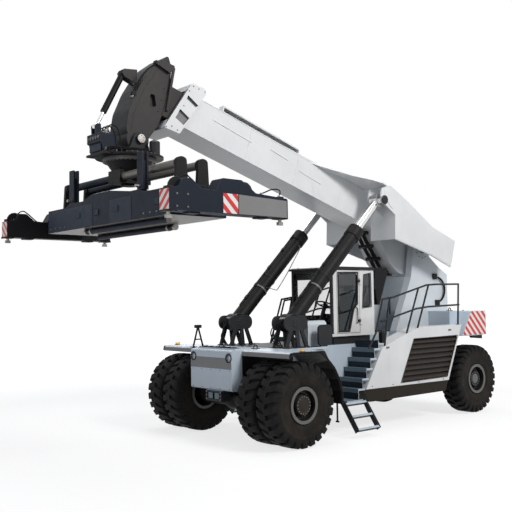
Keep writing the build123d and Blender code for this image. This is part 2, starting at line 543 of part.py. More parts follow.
# channel for the hoses along the top left edge
TRAY_U0, TRAY_U1, TRAY_H = 4300, 6520, 130
channel = boom_prism(
    [(TRAY_U0, BOOM_V1 + 40), (TRAY_U0 + 40, BOOM_V1 + TRAY_H), (TRAY_U1, BOOM_V1 + TRAY_H),
     (TRAY_U1, BOOM_V1 - 5), (TRAY_U0, BOOM_V1 - 5)],
    220, BOOM_X)
channel = channel - boom_prism(
    [(TRAY_U0 + 30, BOOM_V1 + 12), (TRAY_U1 - 30, BOOM_V1 + 12), (TRAY_U1 - 30, BOOM_V1 + 100),
     (TRAY_U0 + 30, BOOM_V1 + 100)],
    250, BOOM_X + 1)
PIVOT_PIN_X = TOWER_X + TOWER_T + 40
nodes["boom_tube"] = tube + channel + cyl_x(PIVOT_Y, PIVOT_Z, PIN_R, -PIVOT_PIN_X, PIVOT_PIN_X)

# wing boxes each side, open below, with the plate that holds the lift cylinder's eye
side_plate = [(2050, 800, 80), (2290, 640, 80), (2290, 440, 80), (2060, 300), (1700, 200),
              (1560, -340), (140, -270), (-640, -300), (-640, 380), (310, 410), (900, 560),
              (1500, 700)]
WING_IN = WING_X - 40
front_plate = [(1560, -340), (1790, 560), (1750, 600), (1520, -330)]
top_plate = [(1760, 590), (900, 555), (310, 405), (-640, 375), (-640, 345), (320, 375),
             (910, 520), (1760, 555)]
wing = (
    boom_prism(side_plate, WING_IN, WING_X)
    + boom_prism(front_plate, BOOM_X, WING_IN)
    + boom_prism(top_plate, BOOM_X, WING_IN)
)
# upper plate that flares from the boom's side out to the wing
FLARE_U = 3900
flare = boom_prism(
    [(FLARE_U, 700), (3600, 715), (2500, 795), (2050, 800), (1740, 600), (1740, 560),
     (2050, 760), (2500, 770), (3600, 690), (FLARE_U, 675)],
    BOOM_X, WING_IN)
flare = flare & boom_plan(
    [(FLARE_U, BOOM_X), (FLARE_U - 150, BOOM_X + 40), (2900, BOOM_X + 330, 400),
     (2280, WING_IN), (1700, WING_IN), (1700, BOOM_X)],
    400, 1100)
wing = wing + flare
inner_cheek = boom_prism(
    [(1760, 560), (2050, 800), (2290, 640), (2290, 440), (2060, 300), (1690, 200)],
    CYL_X - 190, CYL_X - 150)
pair("boom_wings", (wing + inner_cheek) - nodes["boom_tube"])

COLLAR_X = BOOM_X + 60
collar = boom_prism([(7340, -70), (7390, -205, 30), (7760, -234, 30), (7405, 880, 60),
                     (7050, 910, 60), (7040, 790)],
                    -COLLAR_X, COLLAR_X)
collar = collar - boom_prism([(6500, BOOM_V0), (8500, BOOM_V0), (8500, BOOM_V1), (6500, BOOM_V1)],
                             -BOOM_X, BOOM_X)
POCKET_D = 45
for pocket in ([(7431, 523), (7420, 605), (7140, 514), (7188, 451)],
               [(7548, 128), (7519, 264), (7266, 184), (7356, -6), (7573, 55)]):
    for x0, x1 in ((COLLAR_X - POCKET_D, COLLAR_X + 1), (-COLLAR_X - 1, -COLLAR_X + POCKET_D)):
        collar = collar - boom_prism(pocket, x0, x1)
nodes["boom_collar"] = collar

inner = boom_prism(
    [(INNER_U0, INNER_V0), (INNER_U1, INNER_V0), (INNER_U1, INNER_V1), (INNER_U0, INNER_V1)],
    -INNER_X, INNER_X)
SHOE_V0, SHOE_V1, SHOE_L = BOOM_V0 + BOOM_WALL + RUN, BOOM_V1 - BOOM_WALL - RUN, 250
SHOE_X = BOOM_X - BOOM_WALL - RUN
inner = inner + boom_prism(
    [(INNER_U0, SHOE_V0), (INNER_U0 + SHOE_L, SHOE_V0), (INNER_U0 + SHOE_L, SHOE_V1),
     (INNER_U0, SHOE_V1)],
    -SHOE_X, SHOE_X)
inner = inner - boom_prism(
    [(INNER_U0 - 5, INNER_V0 + 25), (INNER_U1 - 20, INNER_V0 + 25), (INNER_U1 - 20, INNER_V1 - 25),
     (INNER_U0 - 5, INNER_V1 - 25)], -INNER_X + 20, INNER_X - 20)
nodes["inner_boom"] = inner
GOOSE_X, GOOSE_FOOT_R = 300, 235
goose = boom_prism(
    [(INNER_U1, 640), (7860, 1000), (8000, 1200, 40), (8280, 810, 700), (8430, 280, 900),
     (8490, -200, 500), (8440, -560, 200), (8300, -720), (8000, -720), (7823, -192),
     (INNER_U1, 12)],
    -GOOSE_X, GOOSE_X)
goose = goose + cyl_x(HEAD_Y, HEAD_PIN_Z, GOOSE_FOOT_R, -GOOSE_X, GOOSE_X)
GOOSE_PIN_R = 60
# damper between the gooseneck's front and the hanger: its ends, barrel, piston and rod
DAMP_TOP, DAMP_EYE = (HEAD_Y - 140, HEAD_PIN_Z + 1290), (HEAD_Y - 710, HEAD_PIN_Z + 200)
DAMP_R, DAMP_BORE, DAMP_ROD_R, DAMP_PIN_R = 60, 42, 32, 35
DAMP_BARREL, DAMP_ROD = 900, 968
top_y, top_z = DAMP_TOP
damp_lug = prism(
    [(top_y + 260, top_z + 100), (top_y - 20, top_z + 70), (top_y - 70, top_z, 30),
     (top_y - 20, top_z - 70), (top_y + 260, top_z - 180)],
    65, 95)
goose = goose + damp_lug + damp_lug.mirror(Plane.YZ) + cyl_x(*DAMP_TOP, DAMP_PIN_R, -90, 90)
# hose guide: a box on top and a flat bar down the left side
GUIDE_X0, GUIDE_X1 = INNER_X + 5, INNER_X + 45
goose = goose + boom_prism(
    [(8228, 894), (8172, 1007), (7845, 1041), (7810, 976), (7900, 860)], GOOSE_X - 60, GUIDE_X1)
goose = goose + boom_prism(
    [(7770, 130), (7725, 130), (7812, 1000), (7860, 1000)], GUIDE_X0, GUIDE_X1)
# side openings with a raised rim
for x0, x1 in ((GOOSE_X - 80, GOOSE_X + 1), (-GOOSE_X - 1, -GOOSE_X + 80)):
    goose = goose - boom_prism(
        [(7960, 120, 35), (8060, 330, 35), (8150, 300, 35), (8120, 40, 35)], x0, x1)
nodes["gooseneck"] = goose + cyl_x(HEAD_Y, HEAD_PIN_Z, GOOSE_PIN_R, -420, 420)

# ---- head, levelled ----
HANGER_TOP = HANGER_Z + HANGER_T
ear = prism(
    [(HEAD_Y - 250, HANGER_TOP), (HEAD_Y + 250, HANGER_TOP), (HEAD_Y + 120, HEAD_PIN_Z + 60, 80),
     (HEAD_Y + 60, HEAD_PIN_Z + 130, 60), (HEAD_Y - 60, HEAD_PIN_Z + 130, 60),
     (HEAD_Y - 120, HEAD_PIN_Z + 60, 80)],
    320, 370)
ear = ear - cyl_x(HEAD_Y, HEAD_PIN_Z, GOOSE_PIN_R + RUN, -500, 500)
SLEW_MOTOR_X, SLEW_MOTOR_Y, SLEW_MOTOR_R, SLEW_MOTOR_H = 475, HEAD_Y + 250, 100, 240
nodes["hanger"] = (
    cyl_z(0, HEAD_Y, HANGER_R, HANGER_Z, HANGER_TOP)
    + block(-330, 330, HEAD_Y - 730, HEAD_Y, HANGER_Z, HANGER_TOP)
    + ear + ear.mirror(Plane.YZ)
)
for x in (-SLEW_MOTOR_X, SLEW_MOTOR_X):
    nodes["hanger"] = nodes["hanger"] + cyl_z(
        x, SLEW_MOTOR_Y, SLEW_MOTOR_R, HANGER_TOP, HANGER_TOP + SLEW_MOTOR_H)
DAMP_L = math.dist(DAMP_TOP, DAMP_EYE)


def damp(d0, d1, r):
    a = [(t * DAMP_EYE[0] + (DAMP_L - t) * DAMP_TOP[0]) / DAMP_L for t in (d0, d1)]
    b = [(t * DAMP_EYE[1] + (DAMP_L - t) * DAMP_TOP[1]) / DAMP_L for t in (d0, d1)]
    return bar((0, a[0], b[0]), (0, a[1], b[1]), r)


nodes["damper_barrel"] = (
    damp(40, DAMP_BARREL, DAMP_R)
    + cyl_x(*DAMP_TOP, 70, -60, 60)
    - damp(45, DAMP_BARREL - 60, DAMP_BORE)
    - damp(45, DAMP_BARREL + 5, DAMP_ROD_R + RUN)
    - cyl_x(*DAMP_TOP, DAMP_PIN_R + RUN, -100, 100)
)
DAMP_PISTON = DAMP_L - DAMP_ROD
nodes["damper_rod"] = (
    damp(DAMP_PISTON, DAMP_L - 20, DAMP_ROD_R)
    + damp(DAMP_PISTON, DAMP_PISTON + 60, DAMP_BORE - RUN)
    + cyl_x(*DAMP_EYE, 55, -50 + RUN, 50 - RUN)
)
VALVE_Y0, VALVE_Y1, VALVE_X, VALVE_H = HEAD_Y - 720, HEAD_Y - 420, 240, 350
VALVE_TOP = HANGER_TOP + VALVE_H
lug = prism(
    [(VALVE_Y0 - 40, VALVE_TOP), (VALVE_Y0 + 80, VALVE_TOP), (VALVE_Y0 + 70, VALVE_TOP + 190),
     (VALVE_Y0 - 50, VALVE_TOP + 190, 60)],
    50, 80)
valve = prism(
    [(VALVE_Y0 + 30, HANGER_TOP), (VALVE_Y0, HANGER_TOP + 170),
     (VALVE_Y0 - 40, HANGER_TOP + 190), (VALVE_Y0 - 40, VALVE_TOP), (VALVE_Y1, VALVE_TOP),
     (VALVE_Y1, HANGER_TOP)],
    -VALVE_X, VALVE_X)
nodes["valve_block"] = valve + lug + lug.mirror(Plane.YZ)

# ---- rotator ----
GUIDE_Y, GUIDE_Z, GUIDE_R = 220, HEAD_PIN_Z - 690, 75
SLEW_R, SLEW_T = 500, 70
CONE_R0, CONE_R1, CONE_H = 150, 440, 440
HOUSING_X, HOUSING_Y, HOUSING_Z = 200, 340, 120
cone = Pos(0, HEAD_Y, HANGER_Z - SLEW_T - CONE_H / 2) * Cone(CONE_R0, CONE_R1, CONE_H)
cone = cone + block(-HOUSING_X, HOUSING_X, HEAD_Y - HOUSING_Y, HEAD_Y + HOUSING_Y,
                    GUIDE_Z - HOUSING_Z, GUIDE_Z + HOUSING_Z)
for s in (-1, 1):
    cone = cone - cyl_x(HEAD_Y + s * GUIDE_Y, GUIDE_Z, GUIDE_R + RUN, -2000, 2000)
nodes["rotator"] = cone + cyl_z(0, HEAD_Y, SLEW_R, HANGER_Z - SLEW_T, HANGER_Z - RUN)

# ---- spreader ----
ARM_W, ARM_GAP = 210, 290
main = block(-FRAME_X, FRAME_X, HEAD_Y - FRAME_Y, HEAD_Y + FRAME_Y, SPREAD_Z0, SPREAD_Z1)
# ends sloped down at the top, where the far one carries a raised collar
for s in (-1, 1):
    main = main - front(
        [(s * (FRAME_X + 1), SPREAD_Z1 + 1), (s * 1250, SPREAD_Z1 + 1),
         (s * 1400, SPREAD_Z1 - 60), (s * (FRAME_X + 1), SPREAD_Z1 - 60)],
        HEAD_Y - FRAME_Y - 1, HEAD_Y + FRAME_Y + 1)
ARM_Z0, ARM_Z1 = SPREAD_Z0 + 40, SPREAD_Z1 - 100
ARM_FREE = 8
for k in (-1.5, -0.5, 0.5, 1.5):
    y = HEAD_Y + k * ARM_GAP
    hole = block(-FRAME_X + 200, FRAME_X - 200, y - ARM_W / 2 - ARM_FREE, y + ARM_W / 2 + ARM_FREE,
                 ARM_Z0 - ARM_FREE, ARM_Z1 + ARM_FREE)
    slot = block(-FRAME_X - 10, FRAME_X + 10, y - ARM_W / 2 - RUN, y + ARM_W / 2 + RUN,
                 ARM_Z0 - RUN, ARM_Z1 + RUN)
    main = main - hole - slot
# raised boxes on top of the front and rear girders, between the posts
for y0, y1 in ((HEAD_Y - FRAME_Y, HEAD_Y - FRAME_Y + 60),
               (HEAD_Y + FRAME_Y - 60, HEAD_Y + FRAME_Y)):
    main = main + front([(-700, SPREAD_Z1 - 1), (-370, SPREAD_Z1 + 90), (290, SPREAD_Z1 + 90),
                         (1000, SPREAD_Z1 - 1)], y0, y1)
nodes["spreader_frame"] = main
GUIDE_X = 1950
tubes = [cyl_x(HEAD_Y + s * GUIDE_Y, GUIDE_Z, GUIDE_R, -GUIDE_X, GUIDE_X) for s in (-1, 1)]
ends = [block(s * GUIDE_X, s * (GUIDE_X + 70), HEAD_Y - HOUSING_Y, HEAD_Y + HOUSING_Y,
              SPREAD_Z1 - 60, GUIDE_Z + HOUSING_Z) for s in (-1, 1)]
nodes["guide_tubes"] = tubes[0] + ends[0] + ends[1] + tubes[1]
# posts on the front girder: two plates with a web between them and a pin at the foot
POST_X0, POST_X1, POST_Y, POST_T, POST_GAP, POST_H = 1150, 1330, HEAD_Y - 560, 30, 60, 660


def post(s):
    plate = [(s * POST_X0, SPREAD_Z1), (s * POST_X0, SPREAD_Z1 + POST_H, 20),
             (s * POST_X1, SPREAD_Z1 + POST_H, 20), (s * POST_X1, SPREAD_Z1)]
    rear_y = POST_Y + POST_T + POST_GAP
    return (
        front(plate, POST_Y, POST_Y + POST_T)
        + front(plate, rear_y, rear_y + POST_T)
        + block(s * 1180, s * 1300, POST_Y + POST_T, rear_y, SPREAD_Z1, SPREAD_Z1 + 500)
        + cyl_y(s * 1240, SPREAD_Z1 + 60, 28, POST_Y - 90, POST_Y)
    )


nodes["posts"] = Compound([post(-1), post(1)])
# long cylinders under the frame that push the end beams
UNDER_R, UNDER_Y, UNDER_Z = 55, 420, SPREAD_Z0 - 55


def extend_cylinder(s):
    y = HEAD_Y + s * UNDER_Y
    return (
        cyl_x(y, UNDER_Z, UNDER_R, -s * 1900, s * 860)
        + block(-s * 1800, -s * 1700, y - 50, y + 50, UNDER_Z, SPREAD_Z0)
        + block(s * 600, s * 700, y - 50, y + 50, UNDER_Z, SPREAD_Z0)
    )


nodes["extend_cylinders"] = Compound([extend_cylinder(-1), extend_cylinder(1)])

PAD_Y, PAD_T = 700, 25    # landing pads under the end beams


def end_assembly(s):
    """End beam with its two arms; s = 1 on the left. The two sides use different channels."""
    x0, x1 = LOCK_X - 130, LOCK_X + 130
    y0, y1 = TIP_Y, HEAD_Y + LOCK_Y + 70
    mid = HEAD_Y
    beam = prism(
        [(y0, END_Z0), (y0, END_Z1), (y0 + 180, END_Z1 + 40), (y0 + 250, END_Z0 + 500, 60),
         (y0 + 420, END_Z0 + 500, 60), (y0 + 600, END_Z0 + 360), (mid - 320, END_Z0 + 350),
         (mid - 200, END_Z0 + 560, 60), (mid + 200, END_Z0 + 560, 60),
         (mid + 500, END_Z1 + 40), (y1, END_Z1, 40), (y1, END_Z0)],
        x0, x1)
    arms = []
    for k in ((-1.5, 0.5) if s > 0 else (-0.5, 1.5)):
        y = HEAD_Y + k * ARM_GAP
        arms.append((-1500, x0, y - ARM_W / 2, y + ARM_W / 2, ARM_Z0, ARM_Z1))
    locks = []
    for t in (-1, 1):
        y = mid + t * LOCK_Y
        locks.append(
            cyl_z(LOCK_X, y, 30, END_Z0 - 60, END_Z0)
            + block(LOCK_X - 28, LOCK_X + 28, y - 50, y + 50, END_Z0 - 110, END_Z0 - 55))
        pad_y = mid + t * PAD_Y
        beam = beam + block(LOCK_X - 90, LOCK_X + 90, pad_y - 100, pad_y + 100,
                            END_Z0 - PAD_T, END_Z0)
    if s < 0:
        beam = beam.mirror(Plane.YZ)
        arms = [(-b, -a, c, d, e, f) for a, b, c, d, e, f in arms]
        locks = [l.mirror(Plane.YZ) for l in locks]
    return beam, [block(*a) for a in arms], locks


for s, side in ((1, "left"), (-1, "right")):
    beam, arms, locks = end_assembly(s)
    nodes["end_beam_" + side] = beam + arms[0] + arms[1]
    nodes["twistlocks_" + side] = Compound(locks)

# ---- cab ----
W = CAB_WALL
PLINTH_X = CAB_X - 60
cab_floor = block(-CAB_X, CAB_X, CAB_Y0, CAB_Y1, CAB_Z0, CAB_Z0 + 60)
nodes["cab_roof"] = prism(
    [(CAB_Y0 - 60, CAB_Z1 - 70), (CAB_Y0 - 60, CAB_Z1 - 30, 30), (CAB_Y0 + 60, CAB_Z1),
     (CAB_Y1 - 60, CAB_Z1), (CAB_Y1 + 20, CAB_Z1 - 25, 20), (CAB_Y1 + 20, CAB_Z1 - 70)],
    -CAB_X - 20, CAB_X + 20)
zf, zr = CAB_Z0 + 60, CAB_Z1 - 70
WIN_Z0 = zf + 180
DOOR_WINDOW = [(DOOR_Y0 + 60, zf + 70, 30), (DOOR_Y0 + 60, zr - 90, 50),
               (DOOR_Y1 - 70, zr - 80, 50), (DOOR_Y1 - 90, zf + 670, 60),
               (DOOR_Y1 - 210, zf + 550, 60), (DOOR_Y1 - 360, zf + 70, 30)]
REAR_WINDOW = [(DOOR_Y1 + 100, zf + 560, 40), (DOOR_Y1 + 160, zr - 110, 40),
               (CAB_Y1 - W - 50, zr - 70, 40), (CAB_Y1 - W - 50, zf + 590, 40)]


def wall_x(x0, x1, y0, y1, window):
    wall = block(x0, x1, y0, y1, zf, zr)
    return wall - prism(window, min(x0, x1) - 5, max(x0, x1) + 5) if window else wall


cab_front = block(-CAB_X, CAB_X, CAB_Y0, CAB_Y0 + W, zf, zr) - block(
    -CAB_X + 60, CAB_X - 60, CAB_Y0 - 5, CAB_Y0 + W + 5, WIN_Z0, zr - 60)
windscreen = block(-CAB_X + 60, CAB_X - 60, CAB_Y0 + 18, CAB_Y0 + 28, WIN_Z0, zr - 60)
cab_back = block(-CAB_X, CAB_X, CAB_Y1 - W, CAB_Y1, zf, zr) - block(
    -CAB_X + 120, CAB_X - 120, CAB_Y1 - W - 5, CAB_Y1 + 5, zf + 690, zr - 60)
back_glass = block(-CAB_X + 120, CAB_X - 120, CAB_Y1 - 30, CAB_Y1 - 20, zf + 690, zr - 60)
cab_side_left = wall_x(CAB_X - W, CAB_X, DOOR_Y1 + 10, CAB_Y1 - W, REAR_WINDOW)
HINGE_R, HINGE_X, HINGE_H = 14, CAB_X + 18, 60
HINGE_ZS = (CAB_Z0 + 300, CAB_Z0 + 1200)
for z in HINGE_ZS:
    for z0 in (z - 50 - RUN, z + HINGE_H + RUN):
        cab_side_left = (
            cab_side_left
            + block(CAB_X - 20, CAB_X + 24, DOOR_Y1 + 16, DOOR_Y1 + 70, z0, z0 + 50)
            + cyl_z(HINGE_X, DOOR_Y1, HINGE_R, z0, z0 + 50)
            + block(CAB_X + 10, CAB_X + 26, DOOR_Y1, DOOR_Y1 + 60, z0, z0 + 50)
        )
side_glass_left = prism(REAR_WINDOW, CAB_X - 30, CAB_X - 20)
cab_pillar_left = block(CAB_X - W, CAB_X, CAB_Y0 + W, DOOR_Y0 - 10, zf, zr)
RIGHT_WINDOW = [(CAB_Y0 + W + 100, zf + 390, 40), (CAB_Y0 + W + 100, zr - 60, 40),
                (CAB_Y1 - W - 80, zr - 60, 40), (CAB_Y1 - W - 80, zf + 390, 40)]
cab_side_right = wall_x(-CAB_X, -CAB_X + W, CAB_Y0 + W, CAB_Y1 - W, RIGHT_WINDOW)
side_glass_right = prism(RIGHT_WINDOW, -CAB_X + 20, -CAB_X + 30)
nodes["cab_glass"] = Compound([windscreen, back_glass, side_glass_left, side_glass_right])
cab_plinth = block(-PLINTH_X, PLINTH_X, CAB_Y0 + 100, HOOD_Y0 - 150, DECK_Z, CAB_Z0)
nodes["cab_shell"] = Compound([cab_floor + cab_plinth, cab_front, cab_back, cab_side_left,
                               cab_pillar_left, cab_side_right])
door = wall_x(CAB_X - 40, CAB_X, DOOR_Y0, DOOR_Y1, DOOR_WINDOW)
door = door & block(0, 2000, CAB_Y0, CAB_Y1, zf + 10, zr - 10)
for z in HINGE_ZS:
    door = (
        door
        + block(CAB_X - 40, HINGE_X, DOOR_Y1 - 60, DOOR_Y1 - 12, z, z + HINGE_H)
        + cyl_z(HINGE_X, DOOR_Y1, HINGE_R, z, z + HINGE_H)
        + block(HINGE_X - 8, HINGE_X + 8, DOOR_Y1 - 60, DOOR_Y1, z, z + HINGE_H)
    )
nodes["cab_door"] = door
nodes["door_glass"] = prism(DOOR_WINDOW, CAB_X - 25, CAB_X - 15)
SEAT_Y = CAB_Y0 + 700
seat = (
    prism([(SEAT_Y, CAB_Z0 + 360, 40), (SEAT_Y, CAB_Z0 + 500, 60), (SEAT_Y + 400, CAB_Z0 + 480),
           (SEAT_Y + 430, CAB_Z0 + 1150, 50), (SEAT_Y + 540, CAB_Z0 + 1150, 50),
           (SEAT_Y + 500, CAB_Z0 + 360, 60)], -260, 260)
    + block(-160, 160, SEAT_Y + 50, SEAT_Y + 450, CAB_Z0 + 60, CAB_Z0 + 370)
)
console = block(-460, -300, SEAT_Y + 50, SEAT_Y + 450, CAB_Z0 + 60, CAB_Z0 + 490)
nodes["seat"] = Compound([seat, console])
WHEEL_C = (0, CAB_Y0 + 450, CAB_Z0 + 700)
column = block(-50, 50, CAB_Y0 + 130, CAB_Y0 + 250, CAB_Z0 + 60, CAB_Z0 + 120) + bar(
    (0, CAB_Y0 + 190, CAB_Z0 + 105), WHEEL_C, 45)
tilted = Plane(origin=WHEEL_C, z_dir=(0, 0.4, 0.92))
wheel_ring = tilted * Torus(195, 17)
spokes = [tilted * (Rot(0, 0, a) * Pos(95, 0, 0) * Box(200, 30, 14)) for a in (90, 210, 330)]
wheel_hub = tilted * Cylinder(55, 40)
nodes["steering_wheel"] = column + wheel_hub + spokes[0] + spokes[1] + spokes[2] + wheel_ring
# tapered air box behind the cab's left rear corner
AIR_X0, AIR_X1, AIR_Y = CAB_X - 120, CAB_X, CAB_Y1 + 60
nodes["air_box"] = prism(
    [(AIR_Y + 30, CAB_Z1), (AIR_Y + 440, CAB_Z1 - 10), (AIR_Y + 410, CAB_Z1 - 200),
     (AIR_Y + 140, CAB_Z1 - 870), (AIR_Y + 70, CAB_Z1 - 870), (AIR_Y, CAB_Z1 - 500),
     (CAB_Y1, CAB_Z1 - 500), (CAB_Y1, CAB_Z1 - 420)],
    AIR_X0, AIR_X1) - nodes["cab_roof"]

# ---- on the deck beside the cab ----
TANK_X0, TANK_X1, TANK_H = CAB_X + 20, CAB_X + 310, 530
TANK_Y0, TANK_Y1 = BASE_Y + 450, BASE_Y + 1000
nodes["deck_tank"] = front(
    [(TANK_X0, DECK_Z), (TANK_X0, DECK_Z + TANK_H, 90), (TANK_X1, DECK_Z + TANK_H, 90),
     (TANK_X1, DECK_Z)],
    TANK_Y0, TANK_Y1)
MIRROR_X, MIRROR_T = DECK_X - 50, 45
mirror_head = prism(
    [(TANK_Y0 + 90, DECK_Z + 30, 60), (TANK_Y0 + 90, DECK_Z + 450, 90),
     (TANK_Y0 + 480, DECK_Z + 450, 90), (TANK_Y0 + 480, DECK_Z + 30, 60)],
    MIRROR_X, MIRROR_X + MIRROR_T)
nodes["mirror"] = mirror_head + block(MIRROR_X, MIRROR_X + MIRROR_T, TANK_Y0 + 150,
                                      STAIR_Y0 - 20, DECK_Z, DECK_Z + 60)

# ---- handrails ----
RAIL_X, TUBE_R = 1560, 21
RAIL_TOP = DECK_Z + 1292
path_top = [(2865, RAIL_TOP - 333), (3229, RAIL_TOP - 292), (4416, RAIL_TOP - 24),
            (4747, RAIL_TOP - 8), (WHEEL_BASE - 540, RAIL_TOP)]
path_mid = [(2803, RAIL_TOP - 811), (4022, RAIL_TOP - 558), (4470, RAIL_TOP - 520),
            (WHEEL_BASE - 540, RAIL_TOP - 492)]
posts_yz = [((4115, RAIL_TOP - 92), (3640, DECK_Z + 160)),
            ((4490, RAIL_TOP - 22), (4040, DECK_Z + 280)),
            ((2865, RAIL_TOP - 333), (2620, DECK_Z + 240), (2390, DECK_Z - 80)),
            ((3110, RAIL_TOP - 306), (3030, RAIL_TOP - 600), (2900, DECK_Z - 60))]


def at_x(x, path):
    return [(x, y, z) for y, z in path]


left_rails = rail([at_x(RAIL_X, path_top + [(WHEEL_BASE - 600, DECK_Z + 320)]),
                   at_x(RAIL_X, path_mid)]
                  + [at_x(RAIL_X, p) for p in posts_yz], TUBE_R)
left_rails = left_rails - cover - stair
loop = [(CAB_Y0 - 450, DECK_Z), (CAB_Y0 - 80, DECK_Z + 990),
        (CAB_Y0 + 220, DECK_Z + 1030), (CAB_Y0 + 280, DECK_Z)]
grab_rail = rail([at_x(-900, loop)], TUBE_R) & block(-2000, 2000, 0, 4000, DECK_Z, DECK_Z + 3000)
nodes["handrails"] = Compound([left_rails, left_rails.mirror(Plane.YZ), grab_rail])

os.makedirs("parts", exist_ok=True)
for name, shape in nodes.items():
    export_step(Pos(0, -Y_MID, 0) * shape, "parts/" + name + ".step")
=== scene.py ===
"""Looks of the reach stacker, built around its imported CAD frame. Metres, +Z up."""

import json
import math

import bmesh
import bpy
from mathutils import Matrix, Vector


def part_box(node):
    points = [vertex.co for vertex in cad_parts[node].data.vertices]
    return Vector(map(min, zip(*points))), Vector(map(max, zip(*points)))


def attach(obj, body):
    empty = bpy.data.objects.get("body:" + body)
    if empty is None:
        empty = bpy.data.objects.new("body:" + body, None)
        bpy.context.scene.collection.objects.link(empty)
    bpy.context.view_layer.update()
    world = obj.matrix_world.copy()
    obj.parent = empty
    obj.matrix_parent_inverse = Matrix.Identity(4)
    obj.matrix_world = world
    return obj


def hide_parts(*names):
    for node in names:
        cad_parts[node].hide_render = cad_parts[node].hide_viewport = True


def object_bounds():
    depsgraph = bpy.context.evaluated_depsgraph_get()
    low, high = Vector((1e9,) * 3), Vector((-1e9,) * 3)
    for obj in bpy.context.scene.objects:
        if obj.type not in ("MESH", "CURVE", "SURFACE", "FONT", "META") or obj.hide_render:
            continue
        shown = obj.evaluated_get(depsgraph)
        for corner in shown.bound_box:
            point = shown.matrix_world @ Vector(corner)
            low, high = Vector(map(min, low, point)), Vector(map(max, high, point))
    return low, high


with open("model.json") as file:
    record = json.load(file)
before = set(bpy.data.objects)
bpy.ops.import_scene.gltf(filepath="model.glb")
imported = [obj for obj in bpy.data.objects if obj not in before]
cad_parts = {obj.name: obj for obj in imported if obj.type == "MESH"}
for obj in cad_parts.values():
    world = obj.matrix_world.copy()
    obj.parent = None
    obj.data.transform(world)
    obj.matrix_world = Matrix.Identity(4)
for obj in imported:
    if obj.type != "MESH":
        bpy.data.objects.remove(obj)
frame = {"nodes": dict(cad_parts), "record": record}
NODES = frame["nodes"]
BODY = {n: body for body, nodes in frame["record"]["behaviour"]["bodies"].items() for n in nodes}
SIDES = ((1, "left"), (-1, "right"))


def corners(bounds):
    """A box as two plain lists of numbers."""
    return [[float(c) for c in corner] for corner in bounds]


CAD_BOX = corners(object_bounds())

# ---- places read from the frame ----
# Machine coordinates have their origin on the ground under the front axle.
front_lo, front_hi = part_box("front_tyres_left")
rear_lo, rear_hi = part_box("rear_tyre_left")
AXLE_Y = (front_lo.y + front_hi.y) / 2
WHEEL_BASE = (rear_lo.y + rear_hi.y) / 2 - AXLE_Y
TYRE_R, TYRE_W = front_hi.z / 2, rear_hi.x - rear_lo.x
OUTER_X, INNER_X, REAR_X = front_hi.x - TYRE_W / 2, front_lo.x + TYRE_W / 2, rear_hi.x - TYRE_W / 2


def edge(node, axis, high):
    """One face of a node's box, in machine coordinates."""
    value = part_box(node)[1 if high else 0]["xyz".index(axis)]
    return value - AXLE_Y if axis == "y" else value


DECK_Z = edge("deck_tank", "z", False)
FRONT_Y = edge("deck", "y", False)
NOSE_X, NOSE_Z0 = edge("mudguards", "x", True) - 1.39, DECK_Z - 0.80
COVER_X, WING_X = edge("side_covers", "x", True), edge("boom_wings", "x", True)
PIVOT_Y, PIVOT_Z = WHEEL_BASE - 0.69, edge("boom_towers", "z", True) - 0.33
BOOM_TILT = math.radians(17.2)
HEAD_Y = edge("hanger", "y", True) - 0.64
HANGER_Z, HANGER_TOP = edge("hanger", "z", False), edge("hanger", "z", False) + 0.04
HEAD_PIN_Z = HANGER_Z + 0.33
SPREAD_Z0, SPREAD_Z1 = edge("spreader_frame", "z", False), edge("posts", "z", False)
TIP_Y, BEAM_X1 = edge("end_beam_left", "y", False), edge("end_beam_left", "x", True)
END_Z0 = edge("end_beam_left", "z", False) + 0.025
CAB_X, CAB_Y0, CAB_Y1 = 0.64, edge("cab_shell", "y", False), edge("cab_shell", "y", True)
CAB_Z1 = edge("cab_roof", "z", True)
BASE_Y, BASE_Z = WHEEL_BASE - 5.44, DECK_Z + 0.50
EYE_Y, EYE_Z = PIVOT_Y - 1.94, PIVOT_Z + 1.02
TAIL_Y, BOOM_X = WHEEL_BASE + 0.51, 0.36


def at(x, y, z):
    """Machine coordinates to the frame's."""
    return Vector((x, y + AXLE_Y, z))


def on_boom(x, u, v):
    """Boom coordinates (u forward along it, v up across it) to the frame's."""
    y = PIVOT_Y - u * math.cos(BOOM_TILT) + v * math.sin(BOOM_TILT)
    return at(x, y, PIVOT_Z + u * math.sin(BOOM_TILT) + v * math.cos(BOOM_TILT))


def placed(s=1, x0=0.0, y0=0.0, z0=0.0):
    """Coordinates measured from a place of the machine, with x turned over where s is -1."""
    return lambda x, y, z: at(s * (x0 + x), y0 + y, z0 + z)


